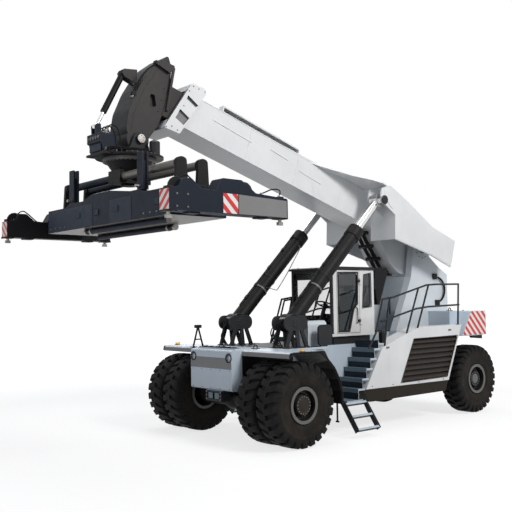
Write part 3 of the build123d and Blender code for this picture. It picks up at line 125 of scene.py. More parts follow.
# ---- materials ----
class Nodes:
    """Short ways to add nodes to a tree; an input takes another node's output, a number or a colour."""

    def __init__(self, tree):
        self.tree = tree

    def feed(self, node, values):
        """Link or set a node's inputs, given by name or number."""
        for key, value in values.items():
            socket = node.inputs[key]
            if isinstance(value, bpy.types.NodeSocket):
                self.tree.links.new(value, socket)
            else:
                socket.default_value = (*value, 1) if socket.type == "RGBA" else value

    def add(self, kind, values, output=0, **settings):
        """One output of a new node, with its settings made and its inputs fed."""
        node = self.tree.nodes.new("ShaderNode" + kind)
        for key, value in settings.items():
            setattr(node, key, value)
        self.feed(node, values)
        return node.outputs[output]

    def place(self, stretch=(1, 1, 1)):
        return self.add("Mapping", {0: self.add("TexCoord", {}, "Object"), "Scale": stretch})

    def noise(self, scale, detail=4.0, roughness=0.55, stretch=(1, 1, 1)):
        return self.add("TexNoise", {"Vector": self.place(stretch), "Scale": scale, "Detail": detail,
                                     "Roughness": roughness}, "Fac")

    def mask(self, value, low, high):
        """Black below low, white above high."""
        node = self.tree.nodes.new("ShaderNodeValToRGB")
        for stop, position in zip(node.color_ramp.elements, (low, high)):
            stop.position = position
        self.feed(node, {0: value})
        return node.outputs[0]

    def mix(self, factor, a, b):
        return self.add("Mix", {0: factor, 6: a, 7: b}, 2, data_type="RGBA")

    def calc(self, operation, *values):
        return self.add("Math", dict(enumerate(values)), operation=operation)

    def times_plus(self, a, b, c):
        return self.calc("MULTIPLY_ADD", a, b, c)

    def rounded(self, radius):
        """The surface's normal with its edges rounded off."""
        return self.add("Bevel", {"Radius": radius}, samples=4)

    def edge_wear(self):
        """White where an edge or corner bends the surface away from its own normal."""
        plain = self.add("NewGeometry", {}, "Normal")
        same = self.add("VectorMath", {0: self.rounded(0.012), 1: plain}, "Value", operation="DOT_PRODUCT")
        bent = self.calc("SUBTRACT", 1.0, same)
        return self.mask(self.calc("MULTIPLY", bent, self.noise(30.0, 6.0, 0.7)), 0.03, 0.10)

    def seen_rays(self):
        """1 for camera, glossy and transmission rays, else 0."""
        path = self.tree.nodes.new("ShaderNodeLightPath").outputs
        return self.calc("MAXIMUM", path["Is Camera Ray"],
                         self.calc("MAXIMUM", path["Is Glossy Ray"], path["Is Transmission Ray"]))


class Finish(Nodes):
    """A material with one Principled shader."""

    def __init__(self):
        self.material = bpy.data.materials.new("finish")
        self.material.use_nodes = True
        super().__init__(self.material.node_tree)
        self.tree.nodes.clear()
        self.shader = self.tree.nodes.new("ShaderNodeBsdfPrincipled")
        self.feed(self.tree.nodes.new("ShaderNodeOutputMaterial"), {0: self.shader.outputs[0]})

    def done(self, values, height=None, strength=0.0, depth=0.0, edges=0.005):
        """The material, once the shader is fed and bumped by a height with its edges rounded."""
        self.feed(self.shader, values)
        if height:
            bump = {"Strength": strength, "Distance": depth, "Height": height}
            if edges:
                bump["Normal"] = self.rounded(edges)
            self.feed(self.shader, {"Normal": self.add("Bump", bump)})
        return self.material


def scaled(colour, share):
    return tuple(min(1.0, c * share) for c in colour)


def paint(colour, rough=0.38, coat=0.25, dirt=0.35, dirt_colour=(0.16, 0.13, 0.10), specular=0.5,
          wear=0.0, low_dirt=0.0):
    """Sprayed machine enamel: faint cloudy colour, runs of grime, chipped edges, road dust low down."""
    f = Finish()
    shade = f.mix(f.mask(f.noise(1.3, 3.0), 0.35, 0.68), scaled(colour, 0.94), scaled(colour, 1.03))
    grime = f.mask(f.noise(5.0, 8.0, 0.68, (1, 1, 0.25)), 0.56, 0.82)
    amount = f.calc("MULTIPLY", grime, dirt)
    if low_dirt:
        height = f.add("SeparateXYZ", {0: f.place()}, 2)
        low = f.mask(f.times_plus(height, -0.5, 1.0), 0.28, 0.72)
        amount = f.times_plus(f.calc("MULTIPLY", low, f.noise(3.0, 6.0, 0.65)), low_dirt, amount)
    shade = f.mix(amount, shade, dirt_colour)
    if wear:
        shade = f.mix(f.calc("MULTIPLY", f.edge_wear(), wear), shade, (0.22, 0.20, 0.18))
    return f.done({"Base Color": shade, "Roughness": f.times_plus(f.noise(9.0), 0.22, rough - 0.09),
                   "Coat Weight": coat, "Coat Roughness": 0.22, "Specular IOR Level": specular},
                  f.noise(160.0, 2.0), 0.12, 0.0006)


def dark_paint(colour, rough=0.5, dirt=0.3, wear=0.5):
    return paint(colour, rough, 0.0, dirt, (0.06, 0.052, 0.045), 0.15, wear)


def metal(colour, rough, scratch=(1, 1, 40)):
    f = Finish()
    streak = f.noise(22.0, 5.0, 0.6, scratch)
    return f.done({"Base Color": f.mix(streak, scaled(colour, 0.78), colour),
                   "Roughness": f.times_plus(streak, 0.18, rough - 0.06), "Metallic": 1.0},
                  streak, 0.06, 0.0004)


def plastic(colour, rough=0.55):
    f = Finish()
    cloud = f.noise(5.0, 4.0)
    return f.done({"Base Color": f.mix(cloud, scaled(colour, 0.8), scaled(colour, 1.2)),
                   "Roughness": f.times_plus(cloud, 0.15, rough - 0.07), "Specular IOR Level": 0.35},
                  f.noise(340.0, 2.0), 0.25, 0.0005)


def fabric(colour):
    """Woven seat cloth: two crossed sets of fine ridges, with sheen."""
    f = Finish()
    weave = f.calc("MULTIPLY", *(
        f.add("TexWave", {"Scale": 170.0, "Distortion": 1.5, "Vector": f.place()}, "Fac", bands_direction=axis)
        for axis in "XZ"))
    return f.done({"Base Color": f.mix(weave, scaled(colour, 0.6), scaled(colour, 1.6)), "Roughness": 0.9,
                   "Sheen Weight": 0.3, "Specular IOR Level": 0.2}, weave, 0.5, 0.001, 0.0)


def rubber(colour, dust, dust_amount):
    """Weathered tyre rubber, browner and paler where dust has settled."""
    f = Finish()
    fine = f.noise(38.0, 8.0, 0.7)
    patch = f.mask(f.noise(4.2, 6.0, 0.6), 0.38, 0.72)
    base = f.mix(fine, scaled(colour, 0.75), scaled(colour, 1.3))
    return f.done({"Base Color": f.mix(f.calc("MULTIPLY", patch, dust_amount), base, dust),
                   "Roughness": f.times_plus(fine, 0.2, 0.62), "Specular IOR Level": 0.14},
                  fine, 0.5, 0.0016, 0.008)


def glass(tint, density):
    """Tinted pane: mostly clear, with a mirror-like sheen."""
    f = Finish()
    dust = f.mask(f.noise(3.0, 6.0, 0.6), 0.4, 0.8)
    return f.done({"Base Color": f.mix(dust, tint, scaled(tint, 1.6)), "Roughness": 0.03, "IOR": 1.45,
                   "Alpha": density, "Specular IOR Level": 0.6})


def lamp_lens(colour, glow=0.0):
    f = Finish()
    cell = f.add("TexVoronoi", {"Scale": 90.0, "Vector": f.place()}, "Distance")
    values = {"Base Color": f.mix(cell, scaled(colour, 0.6), colour), "Roughness": 0.12, "Coat Weight": 0.8}
    if glow:
        values.update({"Emission Color": colour, "Emission Strength": glow})
    return f.done(values, cell, 0.35, 0.002)


def stripes(across, lean, pitch=0.21):
    """Red and white warning bands; across is the flat axis (0 x, 1 y), lean the slope's sign."""
    f = Finish()
    place = f.place()
    slant = f.times_plus(f.add("SeparateXYZ", {0: place}, 2), lean, f.add("SeparateXYZ", {0: place}, across))
    phase = f.calc("FRACT", f.calc("ADD", f.calc("DIVIDE", slant, pitch), 50.0))
    worn = f.mask(f.noise(14.0, 6.0, 0.65), 0.60, 0.85)
    red = f.mix(worn, (0.66, 0.012, 0.014), (0.50, 0.05, 0.04))
    white = f.mix(worn, (0.84, 0.84, 0.80), (0.66, 0.64, 0.58))
    return f.done({"Base Color": f.mix(f.calc("GREATER_THAN", phase, 0.5), white, red), "Roughness": 0.42,
                   "Coat Weight": 0.2}, f.noise(200.0, 2.0), 0.1, 0.0004)


def tread_plate(colour):
    """Paint over raised bars that stand at right angles in turn, as on a walkway."""
    f = Finish()
    bars = f.calc("MAXIMUM", *(
        f.mask(f.add("TexWave", {"Scale": 9.0, "Vector": f.place((1, turn, 0))}, "Fac",
                     bands_direction="DIAGONAL"), 0.62, 0.9) for turn in (1, -1)))
    worn = f.calc("MULTIPLY", f.mask(f.noise(7.0, 7.0, 0.7), 0.5, 0.8), 0.5)
    return f.done({"Base Color": f.mix(worn, colour, (0.13, 0.12, 0.11)), "Roughness": 0.5}, bars, 0.5, 0.003)


MAT = {
    "boom_white": paint((0.80, 0.81, 0.82), dirt=0.14),
    "body_blue": paint((0.54, 0.62, 0.70), dirt=0.25, low_dirt=0.5),
    "tower_blue": paint((0.68, 0.73, 0.77), dirt=0.16),
    "cover_white": paint((0.80, 0.81, 0.82), dirt=0.10, low_dirt=0.25),
    "cab_white": paint((0.80, 0.80, 0.79), dirt=0.08),
    "gooseneck_grey": dark_paint((0.046, 0.043, 0.042), wear=0.3),
    "navy": dark_paint((0.006, 0.011, 0.022), dirt=0.12),
    # A lighter copy of navy; on the spreader's top faces and front facet sheets it is painted light.
    "navy_light": dark_paint((0.022, 0.031, 0.050)),
    "black_metal": dark_paint((0.006, 0.006, 0.007), dirt=0.15),
    "dark_grey": dark_paint((0.026, 0.028, 0.031), wear=0.3),
    "sill_brown": dark_paint((0.016, 0.011, 0.007), rough=0.55),
    "grille_dark": dark_paint((0.034, 0.028, 0.025), rough=0.55, dirt=0.4, wear=0.6),
    "band_grey": paint((0.20, 0.20, 0.20), rough=0.5, coat=0.0, dirt=0.2),
    "step_blue": tread_plate((0.105, 0.155, 0.190)),
    "step_dark": dark_paint((0.016, 0.026, 0.036)),
    "deck_plate": tread_plate((0.46, 0.52, 0.58)),
    "chrome": metal((0.78, 0.78, 0.78), 0.12),
    "steel": metal((0.30, 0.285, 0.27), 0.38),
    "bolt_steel": metal((0.20, 0.19, 0.185), 0.45, (1, 1, 1)),
    "rim_grey": paint((0.12, 0.118, 0.115), rough=0.45, coat=0.0, dirt=0.5),
    "rim_dark": dark_paint((0.014, 0.013, 0.013), rough=0.6, dirt=0.5),
    "hub_brown": dark_paint((0.030, 0.024, 0.019), rough=0.6, dirt=0.5),
    "tyre": rubber((0.006, 0.006, 0.007), (0.024, 0.020, 0.017), 0.5),
    "tyre_side": rubber((0.009, 0.008, 0.007), (0.033, 0.026, 0.020), 0.75),
    "hose": rubber((0.008, 0.008, 0.009), (0.028, 0.026, 0.024), 0.3),
    "glass": glass((0.020, 0.026, 0.028), 0.09),
    "glass_dark": glass((0.008, 0.014, 0.017), 0.80),
    "seal": plastic((0.010, 0.010, 0.011), 0.6),
    "seat_fabric": fabric((0.016, 0.017, 0.020)),
    "trim_plastic": plastic((0.022, 0.023, 0.025)),
    "engine_paint": dark_paint((0.10, 0.11, 0.10), dirt=0.5),
    "pipe_beige": paint((0.20, 0.18, 0.155), rough=0.42, coat=0.1, dirt=0.4),
    "stripes_y_back": stripes(1, 1.0),
    "stripes_x_up": stripes(0, -1.0, 0.17),
    "stripes_x_down": stripes(0, 1.0, 0.17),
    "lens": lamp_lens((0.85, 0.86, 0.88)),
    "lens_amber": lamp_lens((0.95, 0.50, 0.02), 0.25),
    "lens_red": lamp_lens((0.62, 0.02, 0.02)),
}
for name, material in MAT.items():
    material.name = name

for part in frame["record"]["subparts"]:
    slots = NODES[part["node"]].data.materials
    slots.clear()
    slots.append(MAT[part["material_slot"]])


def repaint(node, material, chosen=lambda c, n: True):
    """Another finish on the faces of a node whose centre (machine metres) and normal are chosen; some calls use it
    for painted shade and painted highlights.
    """
    mesh = NODES[node].data
    mesh.materials.append(MAT[material])
    for face in mesh.polygons:
        c = face.center
        if chosen(Vector((c.x, c.y - AXLE_Y, c.z)), face.normal):
            face.material_index = len(mesh.materials) - 1


# ---- mesh helpers ----
def side_on(x, outline):
    """Points of a (y, z) outline in the plane across x."""
    return [(x, y, z) for y, z in outline]


def end_on(y, outline):
    """Points of an (x, z) outline in the plane across y."""
    return [(x, y, z) for x, z in outline]


def rectangle(a0, b0, a1, b1):
    return [(a0, b0), (a1, b0), (a1, b1), (a0, b1)]


def angles(count):
    """Equal turns round a full circle."""
    return [2 * math.pi * i / count for i in range(count)]


def circle(centre, axis, radius, count, start=0.0, along=0.0):
    """Frame points round a circle about an axis (0 x, 1 y, 2 z), moved along it."""
    points = []
    for t in angles(count):
        flat = [radius * math.sin(start + t), radius * math.cos(start + t)]
        flat.insert(axis, along)
        points.append(centre + Vector(flat))
    return points


def turned(centre, direction, radius, count):
    """Frame points round a circle that faces a direction."""
    turn = direction.to_track_quat("Z", "Y").to_matrix()
    return [centre + turn @ Vector((radius * math.cos(t), radius * math.sin(t), 0)) for t in angles(count)]


def link(name, data):
    """A new object in the scene."""
    obj = bpy.data.objects.new(name, data)
    bpy.context.scene.collection.objects.link(obj)
    return obj


class Shape:
    """A mesh under way; each method adds one form and gives the shape back.

    A point is a Vector in the frame, or three numbers that the shape's place turns into one.
    """

    def __init__(self, place=at):
        self.bm, self.place = bmesh.new(), place

    def spots(self, points):
        return [p if isinstance(p, Vector) else self.place(*p) for p in points]

    def skin(self, rows, loop=False, caps=False, strip=False):
        """Quads between rows of points, closed round unless strip; loop joins the last row to the first.

        With caps both ends are closed, and the last one is given back.
        """
        rows = [[self.bm.verts.new(p) for p in row] for row in rows]
        count = len(rows[0])
        for a, b in zip(rows, rows[1:] + rows[:1] if loop else rows[1:]):
            for i in range(count - strip):
                j = (i + 1) % count
                self.bm.faces.new((a[i], a[j], b[j], b[i]))
        if caps:
            self.bm.faces.new(rows[0][::-1])
            return self.bm.faces.new(rows[-1])

    def cut(self, edges, width):
        """Cut edges back by a width."""
        if width:
            bmesh.ops.bevel(self.bm, geom=list(set(edges)), offset=width, segments=2, affect="EDGES", profile=0.6)
        return self

    def box(self, lo, hi, bevel=0.0, place=None):
        """Box between two corners, in the shape's place or another."""
        made = bmesh.ops.create_cube(self.bm, size=1.0)["verts"]
        for v in made:
            v.co = (place or self.place)(*(a + (c + 0.5) * (b - a) for a, b, c in zip(lo, hi, v.co)))
        return self.cut([e for v in made for e in v.link_edges], bevel)

    def plate(self, outline, push, thick, bevel=0.0):
        """Flat outline pushed along a direction by thick, with its far edge cut by bevel."""
        outline, step = self.spots(outline), Vector(push).normalized() * thick
        return self.cut(self.skin([outline, [p + step for p in outline]], caps=True).edges, bevel)

    def tube(self, p, q, radius, sides=12):
        """Closed round bar between two points."""
        p, q = self.spots((p, q))
        self.skin([turned(end, q - p, radius, sides) for end in (p, q)], caps=True)
        return self

    def path(self, points, radius, sides=12):
        """Round bars from point to point."""
        for p, q in zip(points, points[1:]):
            self.tube(p, q, radius, sides)
        return self

    def lathe(self, centre, axis, profile, segments=48, closed=False):
        """Profile of (along, radius) points turned about an axis (0 x, 1 y, 2 z) through a point."""
        centre = self.spots([centre])[0]
        self.skin([circle(centre, axis, r, segments, 0.0, along) for along, r in profile], closed, not closed)
        return self

    def bolts(self, points, axis, size, height, stud=True):
        """Hexagon nuts on washers at points, standing along an axis vector, with or without a stud."""
        axis = Vector(axis).normalized()
        for p in self.spots(points):
            for tall, wide, sides in ((0.18, 1.25, 12), (1.0, 1.0, 6), (1.35, 0.5, 8))[:2 + stud]:
                self.tube(p, p + axis * height * tall, size * wide, sides)
        return self

    def pin_cap(self, centre, s, profile, ring, count, size, height, segments=32):
        """Turned cap that faces out along x on side s, with bolts on a ring round its raised face."""
        centre = self.spots([centre])[0]
        self.lathe(centre, 0, [(s * a, r) for a, r in profile], segments)
        face = centre + Vector((s * profile[1][0], 0, 0))
        return self.bolts(circle(face, 0, ring, count), (s, 0, 0), size, height, False)

    def weld(self, a, b, radius=0.006):
        """Bead of overlapping lumps from a to b."""
        a, b = self.spots((a, b))
        steps = 2 * max(3, int((b - a).length / (radius * 2.2)))
        self.skin([turned(a.lerp(b, i / steps), b - a, radius * (1.0 if i % 2 else 0.72), 6)
                   for i in range(steps + 1)])
        return self

    def frame(self, outline, normal, width, thick):
        """Flat frame of a width round an outline, standing thick along its normal."""
        outline, unit = self.spots(outline), Vector(normal).normalized()
        middle = sum(outline, Vector()) / len(outline)
        turn = 1 if (outline[0] - middle).cross(outline[1] - middle).dot(unit) > 0 else -1
        outer = []
        for i, p in enumerate(outline):
            before = (p - outline[i - 1]).normalized().cross(unit) * turn
            after = (outline[(i + 1) % len(outline)] - p).normalized().cross(unit) * turn
            outer.append(p + (before + after) * (width / (1.0 + before.dot(after))))
        self.skin([outline, outer] + [[p + unit * thick for p in row] for row in (outer, outline)], loop=True)
        return self

    def piece(self, name, material, body="chassis", smooth=False, *more):
        """The finished mesh as an object with its materials, on a body."""
        mesh = bpy.data.meshes.new(name)
        bmesh.ops.recalc_face_normals(self.bm, faces=self.bm.faces)
        self.bm.to_mesh(mesh)
        self.bm.free()
        obj = link(name, mesh)
        for slot in (material, *more):
            mesh.materials.append(MAT[slot])
        if smooth:
            mesh.shade_smooth()
            mesh.set_sharp_from_angle(angle=math.radians(32))
        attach(obj, body)
        return obj


def hose(name, points, radius, body="chassis", place=at):
    """Smooth pressure hose through points, with a crimped ferrule at each end."""
    ends = Shape(place)
    points = ends.spots(points)
    curve = bpy.data.curves.new(name, "CURVE")
    curve.dimensions = "3D"
    curve.bevel_depth, curve.bevel_resolution, curve.resolution_u = radius, 3, 6
    curve.use_fill_caps = True
    spline = curve.splines.new("NURBS")
    spline.points.add(len(points) - 1)
    for target, p in zip(spline.points, points):
        target.co = (*p, 1)
    spline.order_u, spline.use_endpoint_u = 3, True
    curve.materials.append(MAT["hose"])
    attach(link(name, curve), body)
    for a, b in (points[:2], points[:-3:-1]):
        d = (b - a).normalized() * radius
        ends.tube(a - d * 0.5, a + d * 3.5, radius * 1.3).tube(a - d * 0.8, a + d * 1.2, radius * 1.7, 6)
    ends.piece(name + "_ends", "bolt_steel", body)


# ---- tyres ----
CARCASS = [(0.19, 0.325), (0.215, 0.35), (0.236, 0.40), (0.2405, 0.43), (0.2445, 0.432), (0.2475, 0.48),
           (0.2495, 0.55), (0.2485, 0.60), (0.2505, 0.604), (0.2505, 0.622), (0.2475, 0.628), (0.241, 0.68),
           (0.226, 0.728), (0.195, 0.755), (0.12, 0.765), (0.0, 0.768)]
LUG_TOP = [(0.2520, 0.640), (0.2515, 0.700), (0.2470, 0.755), (0.2280, 0.792), (0.1850, 0.8065),
           (0.1100, 0.8095), (0.0400, 0.8100), (-0.0250, 0.8100)]
LUG_FOOT = [(0.2460, 0.636), (0.2420, 0.685), (0.2320, 0.715), (0.2080, 0.745), (0.1700, 0.758),
            (0.1000, 0.764), (0.0400, 0.766), (-0.0250, 0.766)]
SIDEWALL_R = 0.70
FRONT_TREAD = (24, 0.70, 0.56, 0.42)  # lugs round, share of the pitch at shoulder and middle, sweep in pitches
REAR_TREAD = (28, 0.64, 0.50, 0.55)


def add_tyre(shape, x, y, tread, out):
    """Carcass and two rows of swept lugs about the X axis; out is the side that faces outward."""
    count, wide, narrow, sweep = tread
    centre = at(x, y, TYRE_R)
    first = len(shape.bm.faces)
    shape.lathe(centre, 0, [(-a, r) for a, r in CARCASS] + CARCASS[-2::-1], 96, True)
    shape.bm.faces.ensure_lookup_table()
    for face in shape.bm.faces[first:]:
        middle = face.calc_center_median() - centre
        if math.hypot(middle.y, middle.z) < SIDEWALL_R:
            face.material_index = 1
    pitch = 2 * math.pi / count
    for side in (-1, 1):
        for i in range(count):
            rows = []
            for k, ((ax, ar), (bx, br)) in enumerate(zip(LUG_TOP, LUG_FOOT)):
                share = k / (len(LUG_TOP) - 1)
                half = pitch / 2 * (wide + (narrow - wide) * share)
                turn = pitch * (i + (0.5 if side < 0 else 0.0) + out * sweep * max(0.0, share - 0.35) / 0.65)
                section = ((bx, br, -1.10), (ax, ar - 0.006, -1), (ax, ar, -0.88),
                           (ax, ar, 0.88), (ax, ar - 0.006, 1), (bx, br, 1.10))
                rows.append([centre + Vector((side * px, pr * math.sin(turn + half * t),
                                              -pr * math.cos(turn + half * t))) for px, pr, t in section])
            shape.skin(rows, caps=True, strip=True)


for s, side in SIDES:
    for node, tread, wheels in (("front_tyres_" + side, FRONT_TREAD, ((OUTER_X, 0.0), (INNER_X, 0.0))),
                                ("rear_tyre_" + side, REAR_TREAD, ((REAR_X, WHEEL_BASE),))):
        shape = Shape()
        for x, y in wheels:
            add_tyre(shape, s * x, y, tread, s)
        tyre = shape.piece(node + "_rubber", "tyre", BODY[node], True, "tyre_side")
        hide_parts(node)

# ---- rims: finishes by ring, nuts, lock ring, hub cap, valve ----
LOCK_RING = [(0.0, 0.335), (0.004, 0.345), (0.010, 0.347), (0.012, 0.338), (0.008, 0.318), (0.0, 0.314)]
HUB_CAP = [(-0.02, 0.118), (0.003, 0.116), (0.009, 0.104), (0.0105, 0.04)]
RIMS = (  # node, wheel centre x and y, depth of the hub's face in the tyre, its colour, dark ring and hub radii
    ("front_rim_", OUTER_X, 0.0, 0.03, "hub_brown", (("rim_dark", 0.300), ("hub_brown", 0.205))),
    ("rear_rim_", REAR_X, WHEEL_BASE, 0.06, "rim_grey", (("rim_dark", 0.300),)),
)
for s, side in SIDES:
    for stem, x, y, depth, hub, rings in RIMS:
        node, out, body = stem + side, Vector((s, 0, 0)), BODY[stem + side]
        for colour, radius in rings:
            repaint(node, colour, lambda c, n: math.hypot(c.y - y, c.z - TYRE_R) < radius)
        middle = at(s * x, y, TYRE_R)
        face = middle + out * (TYRE_W / 2 - depth)
        Shape().bolts(circle(middle + out * 0.094, 0, 0.252, 24), out, 0.015, 0.022).bolts(
            circle(face - out * 0.002, 0, 0.158, 16, 0.1), out, 0.010, 0.012, False).piece(
            node + "_nuts", "bolt_steel", body)
        Shape().lathe(middle + out * (TYRE_W / 2 - 0.017), 0, [(s * a, r) for a, r in LOCK_RING], 96, True).piece(
            node + "_lock_ring", "rim_grey", body, True)
        Shape().lathe(face - out * 0.005, 0, [(s * a, r) for a, r in HUB_CAP]).piece(node + "_cap", hub, body, True)
        foot, along = middle + Vector((s * 0.120, 0, 0.295)), Vector((s * 0.06, 0, -0.012))
        Shape().tube(foot, foot + along, 0.006, 8).tube(
            foot + Vector((s * 0.052, 0, -0.0105)), foot + Vector((s * 0.068, 0, -0.0136)), 0.008, 8).piece(
            node + "_valve", "bolt_steel", body)

# ---- finishes on the CAD solids, face by face, with painted shade on the stair risers, the collar's pockets and the far end beam, and a painted highlight on the spreader's tops ----
GRILLE = [(WHEEL_BASE - 2.81, TYRE_R + 0.13), (WHEEL_BASE - 2.33, DECK_Z + 0.06),
          (WHEEL_BASE - 0.70, DECK_Z + 0.075), (WHEEL_BASE - 1.14, TYRE_R + 0.145)]
repaint("chassis_frame", "dark_grey", lambda c, n: c.z < NOSE_Z0 or c.y > 1.2)
repaint("deck", "body_blue", lambda c, n: c.y < 0.45 or n.z < 0.5)
repaint("deck", "deck_plate", lambda c, n: c.y < 0.45 and n.z > 0.9 and c.z > DECK_Z - 0.001)
repaint("mudguards", "black_metal", lambda c, n: c.z < DECK_Z - 0.05 or c.y > 0.60)
repaint("mudguards", "black_metal", lambda c, n: abs(n.x) > 0.9 and abs(c.x) > 2.0)
repaint("mudguards", "band_grey", lambda c, n: n.y < -0.5 and c.z > DECK_Z - 0.30)
# The stair risers, the faces across y, are painted dark: painted shade of the shadowed risers.
repaint("stairs", "step_dark", lambda c, n: abs(n.y) > 0.9)
repaint("stairs", "step_blue", lambda c, n: n.z > 0.9)
repaint("cylinder_brackets", "dark_grey")
repaint("cab_shell", "seal", lambda c, n: c.y < CAB_Y0 + 0.049 and c.z > DECK_Z + 0.15)
repaint("cab_shell", "dark_grey", lambda c, n: c.z < DECK_Z + 0.14 and abs(n.z) < 0.5)
repaint("cab_shell", "trim_plastic", lambda c, n: abs(c.x) < 0.605 and CAB_Y0 + 0.052 < c.y < CAB_Y1 - 0.045
        and DECK_Z + 0.20 < c.z and c.x * n.x <= 0)
repaint("cab_roof", "cab_white", lambda c, n: n.z > 0.5 and c.y > CAB_Y0)
repaint("cab_door", "cab_white", lambda c, n: n.x > 0.9 and abs(c.x - CAB_X) < 0.002)
repaint("counterweight", "dark_grey", lambda c, n: c.z < DECK_Z + 0.03)
repaint("gooseneck", "dark_grey", lambda c, n: abs(n.x) < 0.3)
repaint("inner_boom", "gooseneck_grey", lambda c, n: c.z > PIVOT_Z)
# The faces inside the collar's side pockets are painted grey: painted shade in the recesses.
repaint("boom_collar", "band_grey", lambda c, n: 0.36 < abs(c.x) < 0.418)
repaint("side_covers", "grille_dark", lambda c, n: 1.52 < abs(c.x) < COVER_X - 0.0005
        and GRILLE[0][0] < c.y < GRILLE[2][0] and GRILLE[0][1] - 0.01 < c.z < GRILLE[2][1] + 0.01)
repaint("ladders", "deck_plate", lambda c, n: 1.53 < c.y < 2.10 and n.z > 0.4)
# The far (right) end beam is painted black all over: painted shade, as its inner side lies in shadow.
repaint("end_beam_right", "black_metal")
repaint("spreader_frame", "pipe_beige", lambda c, n: n.z < -0.9)
# The spreader frame's top faces get the lighter navy: a painted highlight where light falls on them.
repaint("spreader_frame", "navy_light", lambda c, n: n.z > 0.6)
repaint("extend_cylinders", "navy", lambda c, n: abs(c.x) < 1.85)


# ---- warning bands, grey band and other bare plates ----
def flat_panel(name, outline, push, material, body="chassis", thick=0.004):
    Shape().plate(outline, push, thick, 0.001).piece(name, material, body)


for s, side in SIDES:
    x, z0, z1, out, body = s * BEAM_X1, END_Z0 + 0.008, END_Z0 + 0.322, (s, 0, 0), BODY["end_beam_" + side]
    flat_panel("tip_bands_" + side, end_on(TIP_Y, rectangle(x - s * 0.255, z0, x - s * 0.005, z1)), (0, -1, 0),
               "stripes_x_up" if s > 0 else "stripes_x_down", body)
    flat_panel("side_bands_" + side, side_on(x, rectangle(HEAD_Y - 0.18, z0, HEAD_Y + 0.12, z1)), out,
               "stripes_y_back", body)
    y0, y1 = HEAD_Y + 0.135, HEAD_Y + 1.175
    flat_panel("beam_patch_" + side, side_on(x, [(y0, z0), (y1, z0), (y1, z1 - 0.03), (y0, z1)]), out,
               "band_grey", body)
    flat_panel("tail_bands_" + side, side_on(s * COVER_X, [
        (WHEEL_BASE - 0.47, DECK_Z + 0.07), (WHEEL_BASE - 0.10, DECK_Z + 0.63),
        (WHEEL_BASE + 0.49, DECK_Z + 0.63), (WHEEL_BASE + 0.50, DECK_Z + 0.06)]), out, "stripes_y_back")

LAMP_X, LAMP_Z, LAMP_GAP = NOSE_X - 0.09, DECK_Z - 0.15, 0.107
arc = [(LAMP_X + LAMP_GAP * math.cos(t), LAMP_Z + LAMP_GAP * math.sin(t))
       for t in [math.radians(a) for a in range(-45, -181, -15)]]
band = [(-0.66, 1.43), (0.66, 1.43), (0.66, 1.572)] + arc + [(-x, z) for x, z in arc[::-1]] + [(-0.66, 1.572)]
flat_panel("nose_band", end_on(FRONT_Y, band), (0, -1, 0), "band_grey", thick=0.003)

# ---- lamps ----
LAMP_RING = [(-0.012, 0.070), (-0.016, 0.082), (-0.012, 0.094), (0.0, 0.098), (0.004, 0.086), (0.004, 0.072)]
repaint("lamps", "lens_red", lambda c, n: c.y > WHEEL_BASE)
repaint("lamps", "black_metal", lambda c, n: c.y > WHEEL_BASE - 0.2 and c.z < DECK_Z + 0.06)
rings, cells = Shape(), Shape()
for s in (-1, 1):
    rings.lathe((s * LAMP_X, FRONT_Y, LAMP_Z), 1, LAMP_RING, 40, True)
    for t in (0.6, 2.7, 4.8):
        p = at(s * LAMP_X + 0.09 * math.cos(t), FRONT_Y - 0.012, LAMP_Z + 0.09 * math.sin(t))
        rings.tube(p, p + Vector((0, -0.005, 0)), 0.006, 6)
    for i in range(3):
        x = s * (0.95 + 0.105 * i)
        cells.box((x, TAIL_Y + 0.024, DECK_Z + 0.255), (x + s * 0.085, TAIL_Y + 0.031, DECK_Z + 0.345), 0.004)
rings.piece("headlamp_rings", "seal", smooth=True)
cells.piece("tail_lamp_cells", "lens_amber")
for s, side in SIDES:
    deck = placed(s, z0=DECK_Z)
    Shape(deck).box((1.985, -0.055, 0), (2.055, 0.035, 0.012), 0.003).piece(f"marker_base_{side}", "black_metal")
    Shape(deck).box((1.990, -0.045, 0.012), (2.052, 0.025, 0.045), 0.010).piece(
        f"marker_lamp_{side}", "lens_amber", smooth=True)

# ---- nose: hoses in the tray, towing jaw, lifting eyes ----
for i in range(5):
    hose(f"nose_hose_{i}", [(-0.57 + 1.14 * k / 8, 0.004 * math.sin(2.3 * k + i), 0.024 + 0.016 * (k % 2))
                            for k in range(9)], 0.011, place=placed(y0=FRONT_Y + 0.172 + 0.024 * i, z0=DECK_Z))
shape = Shape(placed(y0=FRONT_Y, z0=DECK_Z))
for k in range(6):
    x = -0.48 + 0.19 * k
    shape.box((x, 0.158, 0.030), (x + 0.035, 0.282, 0.056), 0.005)
shape.piece("nose_hose_clamps", "black_metal")
FORWARD, UP = (0, -1, 0), (0, 0, 1)
shape = Shape()
for x in (-0.02, 0.18):
    shape.plate(end_on(-0.662, rectangle(x, 0.84, x + 0.14, 0.955)), FORWARD, 0.008, 0.003)
shape.piece("jaw_plates", "step_blue")
shape = Shape()
for x in (-0.09, 0.36):
    shape.bolts([(x, -0.66, z) for z in (0.83, 0.90, 0.97)], FORWARD, 0.012, 0.016)
for x in (-0.6, -0.3, 0.0, 0.3, 0.6):
    shape.bolts([(x, FRONT_Y, 1.045), (x, FRONT_Y, 1.40)], FORWARD, 0.009, 0.008, False)
shape.piece("jaw_bolts", "bolt_steel")
shape, eye_r = Shape(), 0.05
for x, y, z in ((-0.55, 0.1, DECK_Z), (0.55, 0.1, DECK_Z), (-0.9, 6.2, DECK_Z + 0.64), (0.9, 6.2, DECK_Z + 0.64)):
    shape.box((x - 0.045, y - eye_r - 0.03, z - 0.002), (x + 0.045, y + eye_r + 0.03, z + 0.012), 0.003)
    shape.path([(x, y - eye_r * math.cos(t), z + 0.012 + 1.25 * eye_r * math.sin(t))
                for t in [math.pi * k / 8 for k in range(9)]], 0.012, 10)
shape.piece("lifting_eyes", "dark_grey", smooth=True)

